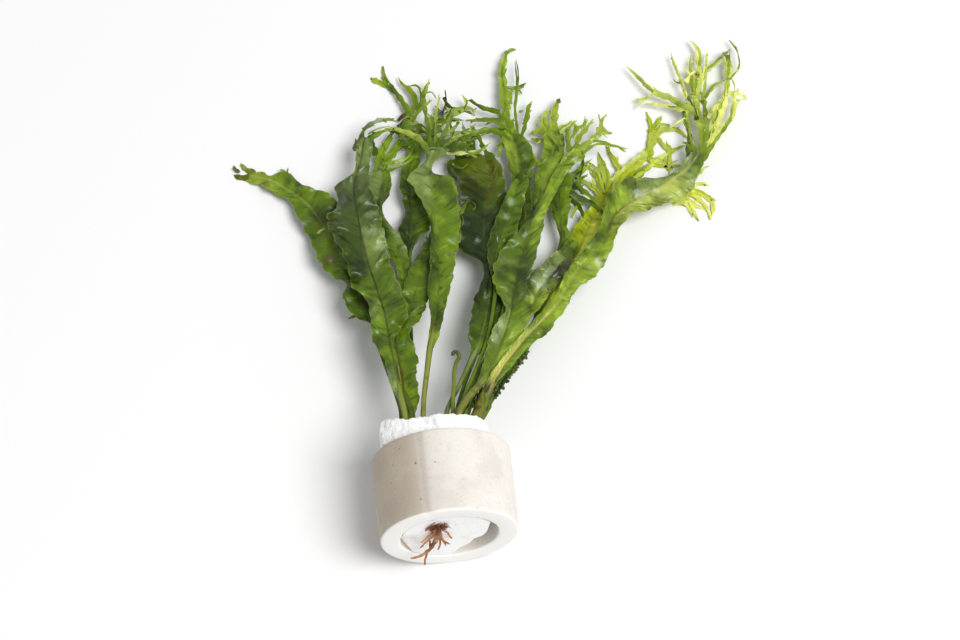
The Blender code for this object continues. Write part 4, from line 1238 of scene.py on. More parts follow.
DARK_CENTRE = Frond(
    "frond_dark_centre", Slot.DARK_LEAF,
    stem=((412, 413, 1.4), (411, 380, 1.4), (411, 345, 1.4), (410, 310, 1.4), (409, 275, 1.6)),
    blade=(
        (405, 252, 409, 252, 413, 248), (400, 236, 410, 238, 422, 236), (399, 228, 411, 225, 430, 228),
        (405, 214, 412, 212, 431, 214), (403, 200, 411, 199, 427, 202), (400, 187, 409, 186, 421, 188),
        (401, 174, 408, 173, 416, 174), (407, 160, 412, 158, 419, 158),
    ),
    crest=(
        (1.8, 0.5, 410, 147, 402, 143, 396, 150, 395, 158),
        (1.8, 0.5, 415, 142, 420, 130, 414, 121, 402, 120),
        (2, 0.5, 421, 143, 432, 131, 430, 119, 440, 112),
    ),
    strands=(
        (1.8, 0.8, 416, 150, 412, 143, 405, 136), (2, 0.7, 420, 145, 428, 140, 436, 137, 447, 137),
        (1.6, 0.1, 425, 140, 433, 128, 436, 115, 438, 103, 439, 94),
        (0.8, 1, 436, 125, 443, 112, 446, 100, 445, 90),
        (2, 0.4, 440, 125, 452, 112, 463, 108, 472, 109, 475, 116),
        (0.9, 0.2, 466, 109, 465, 100, 462, 95), (0.6, 0.4, 470, 108, 474, 110, 477, 108),
        (1.4, 0.5, 412, 122, 418, 112, 424, 106, 432, 100), (1.4, 1, 398, 121, 404, 115, 411, 112),
        (1.6, 0.1, 428, 122, 436, 118, 444, 120, 452, 118),
        (2.4, 0.8, 434, 128, 443, 122, 454, 120, 464, 122), (2, 1.4, 440, 122, 441, 114, 438, 108),
        (1.4, 1.1, 444, 97, 447, 104, 452, 108, 458, 108),
    ),
    finish=LeafFinish(
        left=((0.6, BOTTLE), (0.75, MOSS), (1, LEAF)), right=((0.85, LEAF), (1, FRESH)),
        rib=((0.5, MOSS), (1, OLIVE)), crest=(PALE_LIME, LIME, MOSS),
        stains_and_shine=(StainAndShine(438, 113, 1.6, INK, 0.6), StainAndShine(404, 118, 2.4, RUST, 0.5)),
    ),
)

TALL_LEFT = Frond(
    "frond_tall_left", Slot.LEAF,
    stem=((408, 413, 1.4), (405, 385, 1.4), (404, 355, 1.4), (404, 325, 1.5)),
    blade=(
        (401, 302, 405, 300, 410, 301), (399, 283, 404, 281, 411, 279), (395, 264, 401, 260, 409, 262),
        (388, 250, 395, 246, 406, 247), (384, 235, 390, 231, 398, 234), (378, 219, 382, 217, 387, 221),
        (372, 207, 377, 205, 382, 208), (367, 197, 380, 193, 389, 195), (366, 184, 383, 180, 391, 184),
        (372, 171, 383, 168, 389, 172),
    ),
    crest=(
        (1.2, 0.5, 379, 156, 385, 145, 392, 132),
        (2, 0.5, 392, 152, 401, 138, 408, 124, 410, 116, (
            (1.4, 0.5, 402, 102, 393, 88, ((0.9, 0.5, 382, 82, 372, 80), (0.8, 0.5, 386, 78, 383, 66))),
            (1.3, 0.5, 414, 101, 409, 91, 401, 83, 398, 77),
        )),
        (1.2, 0.5, 398, 167, 409, 161, 416, 149, 412, 139),
    ),
    strands=(
        (2.2, 0.5, 380, 163, 383, 152, 388, 143, 391, 135, 396, 130),
        (2, 0.5, 384, 160, 392, 152, 400, 146, 410, 142, 415, 140),
        (3, 0.7, 376, 155, 372, 147, 370, 138, 376, 132),
        (1.5, 0.1, 383, 165, 392, 163, 400, 160, 407, 158, 413, 150, 416, 143),
        (3, 0.7, 430, 147, 420, 141, 408, 136, 396, 132, 388, 131),
        (2.4, 0.5, 404, 134, 402, 126, 408, 120, 412, 114),
        (2.2, 0.3, 411, 115, 406, 107, 400, 98, 393, 90, 387, 86, 380, 83, 372, 80, (
            (0.5, 0.5, 371, 77),
        )),
        (1.2, 0.3, 388, 87, 384, 76, 382, 67),
        (2, 0.3, 419, 112, 416, 103, 413, 93, 406, 87, 400, 81, 398, 77),
        (1.8, 0.3, 420, 110, 422, 98, 424, 91, 427, 86, 429, 79), (0.6, 0.1, 421, 89, 416, 85, 410, 86),
        (0.6, 0.1, 426, 93, 431, 92, 436, 98), (1.4, 0.5, 398, 150, 404, 143, 412, 136, 420, 130),
        (3.6, 0.65, 431, 147, 421, 144, 411, 144, 401, 149),
        (3.2, 0.75, 428, 131, 416, 128, 405, 131, 396, 139),
        (2.4, 0.6, 401, 141, 395, 150, 389, 160, 383, 170),
        (2.2, 0.45, 391, 137, 385, 145, 379, 154, 376, 160), (1.8, 1.2, 410, 119, 404, 122, 397, 127),
    ),
    finish=LeafFinish(
        left=((0.6, FRESH), (0.75, LEAF), (0.85, SLATE), (0.95, SHEEN_GREY)),
        right=((0.6, LEAF), (0.75, SHEEN_GREY), (0.85, SLATE), (1, FRESH)), rib=((0.4, FRESH), (1, LEAF)),
        crest=(LIME, FRESH, MOSS),
    ),
)

SHORT_BRIGHT = Frond(
    "frond_short_bright", Slot.LEAF,
    stem=((411, 413, 2.4),),
    blade=(
        (403, 400, 407, 400, 419, 400), (399, 388, 403, 388, 418, 387), (396, 371, 400, 370, 416, 370),
        (394, 359, 398, 358, 418, 361), (392, 345, 397, 344, 414, 345), (392, 333, 400, 332, 409, 333),
        (394, 321, 405, 319, 418, 322), (397, 308, 411, 305, 425, 309), (401, 295, 416, 291, 428, 299),
        (406, 280, 420, 276, 431, 281), (411, 267, 424, 262, 432, 262), (420, 253, 427, 249, 433, 247),
    ),
    crest=((2, 0.5, 431, 236, 434, 226),),
    finish=LeafFinish(
        left=((0.4, MOSS), (0.6, LEAF)), right=((0.15, FRESH), (0.3, LEAF)),
        rib=((0.1, OLIVE), (0.25, RUST), (0.5, OLIVE)), crest=(LIME, LEAF, MOSS),
    ),
)

BROAD_LEFT = Frond(
    "frond_broad_left", Slot.GREY_LEAF,
    stem=((405, 413, 1.8), (401, 398, 1.9)),
    blade=(
        (390, 384, 398, 382, 401, 381), (388, 374, 396, 371, 399, 370), (384, 359, 393, 357, 397, 356),
        (375, 345, 390, 342, 394, 340), (371, 330, 387, 326, 400, 330), (370, 314, 384, 311, 408, 313),
        (366, 299, 379, 297, 404, 298), (352, 286, 375, 283, 397, 280), (349, 270, 370, 269, 391, 264),
        (342, 251, 365, 252, 387, 248), (332, 234, 361, 235, 384, 232), (327, 216, 358, 217, 380, 216),
        (338, 206, 355, 201, 376, 202), (336, 186, 354, 186, 371, 189), (353, 173, 357, 171, 369, 173),
        (356, 153, 362, 152, 371, 155), (357, 140, 364, 140, 372, 142),
    ),
    crest=((1.3, 0.5, 364, 130, 372, 123, 384, 120, 398, 121), (1.4, 0.5, 376, 136, 386, 130, 397, 127)),
    strands=(
        (1.8, 0.7, 363, 130, 371, 124, 381, 120, 392, 120, 398, 123),
        (0.7, 0.5, 368, 134, 377, 129, 390, 126), (1, 0.5, 370, 137, 380, 132, 392, 129),
        (2.2, 1, 357, 150, 355, 147, 354, 144),
    ),
    ruffle=1.5, wave=8.0,
    finish=LeafFinish(
        left=(
            (0.1, SHEEN_GREY), (0.2, LEAF), (0.35, FRESH), (0.45, FRESH), (0.55, MOSS), (0.66, MOSS),
            (0.8, SLATE), (1, SHEEN_GREY),
        ),
        right=((0.5, LEAF), (0.65, SHEEN_GREY), (0.72, MOSS), (0.85, SLATE), (1, SHEEN_GREY)),
        rib=((0.05, STRAW), (0.2, OLIVE), (0.35, BARK), (0.6, BARK), (0.8, BOTTLE), (1, MOSS)),
        crest=(PALE_LIME, FRESH, SLATE), sheen=0.3, rib_fade=0.1,
        # The PAINTED_SHINE and CREAM spots are painted highlights and the SHEEN_GREY spots partly painted
        # sheen; the BOTTLE spots darken the blade's upper left.
        stains_and_shine=(
            StainAndShine(374, 240, 3, SHEEN_GREY, 0.7), StainAndShine(340, 200, 5.5, BOTTLE, 0.45),
            StainAndShine(372, 217, 2.4, PAINTED_SHINE, 0.3), StainAndShine(376, 232, 2.6, PAINTED_SHINE, 0.3),
            StainAndShine(380, 246, 2, PAINTED_SHINE, 0.25), StainAndShine(362, 200, 1.6, SHEEN_GREY, 0.7),
            StainAndShine(373, 306, 2.2, CREAM, 0.3), StainAndShine(377, 321, 2, CREAM, 0.25),
            StainAndShine(330, 225, 3, BOTTLE, 0.5), StainAndShine(340, 262, 3, BOTTLE, 0.4),
        ),
    ),
)

CENTRE = Frond(
    "frond_centre", Slot.LEAF,
    stem=((423, 413, 1.5), (424, 397, 1.5), (427, 372, 1.6), (430, 348, 1.9)),
    blade=(
        (429, 334, 433, 333, 439, 335), (431, 319, 435, 318, 443, 318), (429, 304, 437, 302, 447, 301),
        (428, 288, 439, 286, 451, 285), (430, 271, 440, 270, 454, 270), (430, 254, 439, 254, 456, 254),
        (431, 240, 437, 240, 460, 242), (431, 226, 435, 226, 460, 227), (426, 210, 434, 210, 459, 210),
        (419, 197, 432, 195, 457, 193), (412, 185, 431, 182, 452, 178), (408, 176, 429, 172, 433, 173),
        (425, 162, 430, 161, 434, 162), (427, 150, 435, 150, 446, 151),
    ),
    crest=(
        (2.2, 0.5, 418, 138, 402, 131, 387, 128),
        (1.8, 0.5, 428, 128, 425, 110, 423, 98, (
            (0.7, 0.5, 417, 86, 409, 86), (0.9, 0.5, 427, 88, 429, 79),
        )),
        (1.3, 0.5, 436, 128, 436, 111, 440, 97),
        (2, 0.5, 446, 130, 454, 114, 464, 110, (
            (0.7, 0.5, 467, 102, 462, 95), (0.9, 0.5, 468, 112, 475, 116),
        )),
        (1.5, 0.5, 455, 138, 468, 131, 476, 124), (1.7, 0.5, 459, 153, 475, 153, 490, 143),
    ),
    strands=(
        (1.8, 0.5, 433, 146, 436, 138, 445, 133, 455, 128, 459, 118),
        (1.5, 0.3, 438, 150, 450, 153, 465, 153, 478, 151, 486, 148, 490, 142),
        (1.8, 0.7, 440, 143, 452, 137, 462, 132, 470, 128),
        (1.6, 0.7, 446, 148, 456, 145, 468, 142, 478, 138),
        (1, 0.7, 450, 160, 455, 166, 462, 168, 468, 164),
        (1.6, 0.7, 422, 152, 413, 146, 404, 141, 397, 140),
        (1.4, 0.5, 430, 135, 438, 124, 447, 117, 452, 108),
        (3.4, 0.6, 438, 148, 446, 140, 457, 135, 469, 131), (3, 0.75, 447, 149, 459, 147, 472, 144),
        (3, 0.65, 436, 141, 438, 131, 434, 121, 427, 113),
    ),
    ruffle=1.0, wave=8.0,
    finish=LeafFinish(
        left=((0.42, FRESH), (0.52, MOSS), (0.65, LEAF), (0.75, LEAF), (0.85, SHEEN_GREY)),
        right=((0.2, LIME), (0.35, FRESH), (0.85, FRESH), (1, SHEEN_GREY)),
        rib=((0.3, STRAW), (0.5, LEAF), (1, SHEEN_GREY)), crest=(PALE_LIME, LEAF, MOSS),
        # The PAINTED_SHINE spot is a painted highlight and the SHEEN_GREY spots partly painted sheen.
        stains_and_shine=(
            StainAndShine(435, 325, 0.9, RUST, 0.8), StainAndShine(441, 262, 0.8, BARK, 0.8),
            StainAndShine(441, 275, 0.8, BARK, 0.8), StainAndShine(441, 288, 0.8, BARK, 0.7),
            StainAndShine(448, 254, 1, BARK, 0.6), StainAndShine(427, 378, 0.7, RUST, 0.6),
            StainAndShine(456, 238, 1.9, PAINTED_SHINE, 0.3), StainAndShine(443, 201, 1.8, SHEEN_GREY, 0.5),
            StainAndShine(441, 213, 1.2, SHEEN_GREY, 0.5), StainAndShine(425, 210, 1.6, SHEEN_GREY, 0.5),
        ),
    ),
)

UNDER_RIGHT = Frond(
    "frond_under_right", Slot.YELLOW_LEAF,
    stem=((480, 413, 1.2), (490, 392, 1.2), (507, 367, 1.2), (528, 341, 1.2), (549, 317, 1.4)),
    blade=(
        (560, 294, 565, 295, 570, 297), (579, 268, 585, 267, 592, 270), (597, 240, 604, 240, 611, 242),
        (610, 215, 617, 217, 624, 219), (632, 193, 637, 201, 643, 207), (658, 184, 663, 193, 668, 200),
        (679, 180, 683, 188, 686, 197),
    ),
    crest=(
        (1, 0.5, 695, 184, 703, 183, 710, 186), (1.2, 0.5, 697, 190, 707, 195, 716, 201),
        (1.6, 0.5, 699, 199, 708, 210, 711, 220), (1.4, 0.5, 690, 202, 694, 211, 698, 221),
    ),
    strands=(
        (2.6, 0.4, 678, 190, 692, 192, 705, 196, 712, 203, 713, 212, 710, 221),
        (1.2, 0.1, 690, 187, 700, 185, 708, 186), (2.4, 0, 672, 200, 685, 204, 692, 212, 699, 222),
        (1.8, 0, 684, 198, 695, 205, 709, 211), (2.4, 0, 668, 196, 676, 204, 686, 208),
    ),
    ruffle=0.3,
    finish=LeafFinish(
        left=((0.5, LEAF), (0.9, LEMON)), right=((0.5, LEAF), (0.9, LEMON), (1, CREAM)),
        rib=((0.5, LEAF), (1, LEMON)), crest=(CREAM, LEMON, YELLOW),
    ),
)

YELLOW_FROND = Frond(
    "frond_yellow", Slot.YELLOW_LEAF,
    stem=((474, 413, 1.2), (483, 392, 1.2), (498, 367, 1.2), (518, 341, 1.4)),
    blade=(
        (533, 319, 538, 318, 545, 317), (537, 305, 546, 304, 553, 304), (548, 290, 555, 289, 563, 290),
        (559, 273, 564, 274, 572, 276), (566, 261, 572, 262, 580, 262), (572, 248, 579, 251, 586, 252),
        (571, 236, 585, 237, 593, 239), (579, 220, 592, 221, 602, 226), (590, 207, 600, 207, 609, 212),
        (600, 193, 608, 193, 615, 196),
    ),
    crest=(
        (1.3, 0.5, 592, 185, 582, 181, 573, 178), (1.2, 0.5, 600, 178, 596, 168, 587, 161),
        (1.5, 0.5, 609, 180, 605, 166, 598, 152), (1.4, 0.5, 619, 172, 612, 158, 606, 146),
        (2.3, 0.5, 628, 173, 641, 162, 650, 148, 652, 132, (
            (0.9, 0.5, 649, 120, 646, 112), (1, 0.5, 658, 122, 661, 116),
            (1.2, 0.5, 664, 129, 677, 129, 690, 141),
        )),
        (1.6, 0.5, 636, 177, 650, 167, 664, 157, (
            (1, 0.5, 674, 149, 687, 145), (1, 0.5, 669, 166, 669, 178),
        )),
    ),
    strands=(
        (2, 0.5, 601, 197, 593, 187, 585, 182, 577, 178),
        (1.4, 0.5, 601, 190, 598, 180, 594, 172, 588, 168, 581, 160),
        (2, 0.5, 608, 188, 604, 175, 600, 165, 598, 153),
        (1.8, 0.5, 622, 174, 616, 162, 610, 153, 606, 145),
        (3.4, 0.5, 611, 184, 620, 175, 630, 165, 640, 158, 648, 155, (
            (3.4, 0.5, 651, 143, 653, 130, (
                (1.6, 0.5, 651, 124, 646, 113), (2, 0.5, 657, 122, 662, 116),
            )),
        )),
        (1.8, 0.2, 653, 140, 662, 132, 672, 130, 680, 133, 688, 141),
        (2.4, 0.2, 656, 130, 664, 125, 670, 126), (1.6, 0.5, 658, 138, 664, 146, 669, 152),
        (1.8, 0.5, 650, 162, 662, 157, 672, 152, 685, 146), (1.5, 0.5, 655, 165, 664, 167, 682, 165),
        (1.6, 0.4, 669, 145, 670, 158, 669, 174), (2.6, 0.8, 636, 178, 645, 169, 652, 165, 660, 162),
        (1.2, 0.2, 672, 150, 667, 144, 666, 141), (1.6, 0.25, 648, 158, 657, 160, 668, 163, 679, 160),
        (1.6, 0.6, 626, 178, 636, 172, 648, 165),
    ),
    finish=LeafFinish(
        left=((0.72, OLIVE), (0.8, YELLOW)),
        right=((0.3, YELLOW), (0.5, LEMON), (0.9, LEMON), (1, YELLOW)),
        rib=((0.3, RUST), (0.7, KHAKI), (0.9, YELLOW)), crest=(PALE_LIME, YELLOW, MOSS),
    ),
)

HANGING = Frond(
    "frond_hanging", Slot.DARK_LEAF,
    stem=(
        (468, 413, 1.2), (476, 392, 1.2), (489, 367, 1.2), (506, 338, 1.2), (524, 305, 1.2),
        (542, 276, 1.3), (556, 258, 1.4),
    ),
    blade=(
        (560, 240, 564, 243, 571, 238), (556, 224, 561, 225, 567, 226), (551, 208, 560, 207, 570, 209),
        (550, 193, 560, 190, 572, 195), (555, 180, 565, 176, 576, 182),
    ),
    crest=(
        (1.5, 0.5, 560, 170, 567, 164, 573, 160), (1.4, 0.5, 577, 171, 584, 165, 592, 159),
        (1.8, 0.5, 583, 190, 595, 201, 604, 215),
    ),
    strands=(
        (2, 0.9, 570, 192, 580, 198, 592, 203, 600, 210, 604, 216),
        (1.8, 0.7, 572, 186, 578, 176, 582, 166, 584, 156), (1.4, 0.3, 577, 178, 584, 170, 592, 164),
        (2.2, 0.8, 568, 198, 576, 204, 582, 212, 583, 220), (1.4, 0.8, 573, 187, 580, 190, 583, 195),
        (1.2, 0.1, 571, 218, 576, 208, 581, 201), (1.2, 0.5, 566, 174, 570, 166, 575, 158),
        (1.2, 0.6, 574, 182, 582, 178, 588, 174),
    ),
    finish=LeafFinish(
        left=((0.8, LEAF), (1, MOSS)), right=((0.6, LEAF), (0.8, FRESH)), rib=((0.6, LEAF), (1, MOSS)),
        crest=(LIME, FRESH, BOTTLE),
        stains_and_shine=(StainAndShine(562, 234, 1.8, BARK, 0.5),),
    ),
)

CRUMPLED = Frond(
    "frond_crumpled", Slot.GREY_LEAF,
    stem=((462, 413, 1.2), (469, 392, 1.2), (481, 367, 1.2), (497, 340, 1.2), (514, 321, 1.4)),
    blade=(
        (522, 306, 530, 309, 537, 311), (523, 287, 539, 292, 548, 296), (533, 272, 549, 278, 558, 284),
        (545, 262, 558, 268, 565, 274), (558, 251, 567, 257, 572, 262),
    ),
    crest=((3, 0.5, 572, 248, 577, 239),),
    strands=((3, 0.9, 560, 262, 564, 250, 570, 242, 576, 240), (1.6, 1.2, 548, 290, 556, 276, 566, 262)),
    ruffle=1.2, wave=5.0,
    finish=LeafFinish(
        left=((0.5, LEAF), (0.7, PALE_LIME), (0.85, SHEEN_GREY)),
        right=((0.5, FRESH), (0.75, LIME), (0.9, SLATE)), rib=((0.5, LIME), (0.8, SLATE), (1, LEAF)),
        crest=(SHEEN_GREY, FRESH, MOSS), sheen=0.4,
        # The PAINTED_SHINE spots are painted highlights.
        stains_and_shine=(
            StainAndShine(557, 275, 2, INK, 0.6), StainAndShine(563, 266, 1.6, INK, 0.6), StainAndShine(540, 282, 3, PAINTED_SHINE, 0.3),
            StainAndShine(551, 270, 2, PAINTED_SHINE, 0.3),
        ),
    ),
)

FEATHERED = Frond(
    "frond_feathered", Slot.LEAF,
    stem=(
        (456, 413, 1.2), (462, 392, 1.2), (471, 367, 1.2), (482, 340, 1.2), (499, 300, 1.2),
        (514, 262, 1.4), (524, 234, 1.6),
    ),
    blade=(
        (526, 216, 534, 214, 545, 214), (532, 197, 541, 195, 552, 198), (535, 179, 545, 177, 557, 180),
        (540, 161, 551, 160, 563, 162), (544, 146, 554, 144, 564, 146), (545, 133, 553, 131, 562, 133),
    ),
    crest=(
        (1.6, 0.5, 541, 128, 535, 131, 529, 135), (1.5, 0.5, 546, 122, 544, 115, 550, 108),
        (2.2, 0.5, 554, 118, 556, 108, 560, 98), (1.6, 0.5, 565, 127, 574, 125, 582, 129),
    ),
    strands=(
        (3, 0.5, 553, 130, 554, 118, 555, 108, 560, 98), (2, 0.4, 545, 130, 543, 120, 546, 113, 550, 108),
        (2, 0.6, 547, 135, 540, 131, 529, 134), (1.4, 0.6, 545, 140, 535, 140, 530, 139),
        (1.4, 0.3, 558, 128, 565, 126, 572, 125), (1.8, 0.6, 540, 165, 534, 158, 529, 150),
        (2.4, 0.4, 550, 145, 549, 132, 547, 122),
    ),
    finish=LeafFinish(
        left=((0.6, MOSS), (0.75, LEAF), (0.85, FRESH), (1, LIME)), right=((0.6, FRESH), (0.8, LIME)),
        rib=((0.6, FRESH), (1, PALE_LIME)), crest=(PALE_LIME, LIME, SLATE), sheen=0.2,
    ),
)

DARK_RIGHT = Frond(
    "frond_dark_right", Slot.DARK_LEAF,
    stem=((446, 412, 1.4), (452, 399, 1.4), (459, 386, 1.4), (466, 371, 1.5), (472, 358, 1.8)),
    blade=(
        (471, 348, 478, 347, 485, 349), (468, 334, 482, 333, 493, 336), (471, 318, 486, 317, 500, 318),
        (474, 300, 489, 299, 504, 302), (480, 286, 490, 283, 500, 285), (484, 271, 491, 269, 498, 270),
        (478, 259, 489, 257, 498, 257), (459, 250, 485, 247, 500, 246), (460, 235, 484, 233, 501, 232),
        (462, 219, 485, 217, 502, 218), (462, 204, 488, 202, 504, 202), (460, 189, 492, 187, 506, 187),
        (456, 173, 492, 171, 503, 173), (453, 160, 489, 158, 498, 161),
    ),
    crest=(
        (2.2, 0.5, 454, 147, 452, 134, 450, 120), (2, 0.5, 468, 145, 465, 132, 462, 122),
        (1.8, 0.5, 483, 147, 478, 136, 470, 128),
    ),
    strands=(
        (1.4, 0.3, 462, 236, 466, 226, 472, 214, 476, 206, 470, 200),
        (1.6, 0.3, 463, 230, 461, 222, 462, 212, 467, 202, 473, 196, 478, 198),
        (2, 1, 470, 244, 476, 232, 480, 220), (1.4, 0.5, 456, 180, 450, 172, 447, 163),
        (2.2, 0.8, 448, 150, 444, 144, 447, 138, 453, 136), (2.4, 0.7, 462, 150, 460, 140, 456, 132),
        (2, 0.8, 474, 150, 472, 140, 476, 132, 470, 126),
    ),
    finish=LeafFinish(
        # The BOTTLE stops between 0.45 and 0.77 along both halves are painted shade where the blade folds.
        left=(
            (0.15, FRESH), (0.3, LEAF), (0.42, MOSS), (0.52, BOTTLE), (0.77, BOTTLE), (0.8, MOSS),
            (0.9, OLIVE),
        ),
        right=(
            (0.2, FRESH), (0.35, LEAF), (0.45, BOTTLE), (0.65, MOSS), (0.77, BOTTLE), (0.8, MOSS),
            (0.95, OLIVE),
        ),
        rib=((0.25, SHEEN_GREY), (0.4, LEAF), (0.7, MOSS), (0.78, RUST)), crest=(LIME, LEAF, BOTTLE),
        stains_and_shine=(
            StainAndShine(489, 157, 0.7, RUST, 0.7), StainAndShine(492, 167, 0.9, RUST, 0.8),
            StainAndShine(494, 177, 0.8, RUST, 0.8), StainAndShine(496, 186, 0.6, RUST, 0.7),
            StainAndShine(500, 200, 1.6, OLIVE, 0.6),
        ),
    ),
)

GLOSSY = Frond(
    "frond_glossy", Slot.DARK_LEAF,
    stem=(
        (458, 413, 1.2), (466, 392, 1.2), (477, 367, 1.2), (487, 340, 1.2), (493, 310, 1.2),
        (496, 282, 1.5),
    ),
    blade=(
        (488, 261, 496, 260, 504, 261), (488, 244, 500, 242, 513, 242), (493, 227, 506, 225, 518, 225),
        (500, 210, 511, 207, 523, 207), (507, 195, 515, 192, 526, 191), (514, 181, 520, 178, 528, 178),
    ),
    crest=((1.8, 0.5, 526, 168, 532, 159),),
    strands=((1.6, 0.4, 508, 216, 504, 206, 508, 196),),
    finish=LeafFinish(
        left=((0.8, MOSS), (0.9, LEAF), (1, FRESH)), right=((0.4, MOSS), (0.75, LEAF)),
        rib=((0.3, FRESH), (1, LEAF)), crest=(LEAF, MOSS, BOTTLE), gloss=0.22,
        # Both spots are painted highlights.
        stains_and_shine=(StainAndShine(511, 202, 1.7, PAINTED_SHINE, 0.4), StainAndShine(506, 216, 1.5, PAINTED_SHINE, 0.35)),
    ),
)

PLUME = Frond(
    "frond_plume", Slot.LEAF,
    stem=(
        (465, 413, 1.2), (473, 392, 1.2), (484, 367, 1.2), (495, 338, 1.2), (506, 300, 1.2),
        (515, 264, 1.5), (521, 236, 1.6),
    ),
    blade=(
        (517, 220, 525, 219, 533, 220), (518, 204, 525, 203, 532, 205), (516, 189, 524, 188, 531, 190),
        (510, 174, 521, 173, 532, 176), (508, 160, 518, 158, 535, 161), (505, 148, 515, 146, 531, 147),
        (503, 136, 511, 135, 523, 136),
    ),
    crest=(
        (2.1, 0.5, 492, 130, 472, 133, 453, 138), (1.9, 0.5, 494, 120, 480, 120, 465, 121),
        (1.5, 0.5, 498, 113, 484, 109, 468, 100),
        (3, 0.5, 506, 116, 505, 101, 504, 87, (
            (0.9, 0.5, 502, 72, 506, 58, 509, 50, 516, 50), (1.1, 0.5, 515, 88, 526, 83),
        )),
        (1, 0.5, 515, 105, 517, 85, 515, 62), (1.5, 0.5, 525, 126, 527, 114, 532, 102),
    ),
    strands=(
        (3.2, 0.2, 506, 112, 504, 100, 503, 90, 503, 80, 502, 72, 504, 62, 507, 53, 515, 50),
        (1.2, 0.4, 508, 52, 512, 48, 516, 50), (1.4, 0.3, 511, 104, 511, 92, 514, 88, 520, 88, 526, 83),
        (0.6, 0.3, 519, 90, 522, 94), (0.6, 0.3, 503, 77, 507, 68),
        (0.7, 0.2, 516, 105, 518, 85, 518, 70, 516, 60), (0.8, 0.5, 519, 112, 523, 111),
        (2, 0.5, 524, 125, 527, 118, 528, 108, 532, 101),
        (1.6, 0.7, 505, 120, 490, 120, 475, 120, 466, 120),
        (1.8, 0.7, 506, 130, 490, 131, 478, 133, 465, 137, 455, 142),
        (1.4, 0.4, 500, 111, 485, 108, 476, 104, 470, 100, 466, 101),
        (1.8, 0.4, 505, 135, 502, 145, 497, 158), (3, 0.3, 508, 140, 508, 128, 507, 115, 508, 104),
        (2.4, 0.4, 512, 150, 509, 140, 512, 128, 514, 118),
    ),
    finish=LeafFinish(
        left=((0.6, LEAF), (0.75, BOTTLE), (0.85, LEAF), (0.95, LIME)),
        right=((0.6, LEAF), (0.75, MOSS), (0.85, LEAF)), rib=((0.6, LEAF), (0.85, RUST), (1, STRAW)),
        crest=(LIME, FRESH, MOSS),
        stains_and_shine=(StainAndShine(511, 145, 1.6, STRAW, 0.6),),
    ),
)

SPORE = Frond(
    "frond_spore", Slot.DARK_LEAF,
    stem=((486, 414, 1.4), (489, 404, 1.6)),
    blade=(
        (488, 394, 492, 396, 496, 397), (494, 381, 499, 384, 503, 386), (503, 370, 507, 373, 511, 375),
        (512, 360, 516, 362, 520, 364), (521, 349, 524, 351, 528, 353),
    ),
    crest=((1.4, 0.5, 529, 346, 533, 343),),
    ruffle=0.3, wave=2.2, spores=True,
    finish=LeafFinish(
        left=((0.1, FRESH), (0.6, LEAF), (1, MOSS)), right=((0.5, MOSS), (1, MOSS)),
        rib=((0.1, FRESH), (0.4, SHEEN_GREY)), crest=(SHEEN_GREY, SLATE, MOSS),
    ),
)

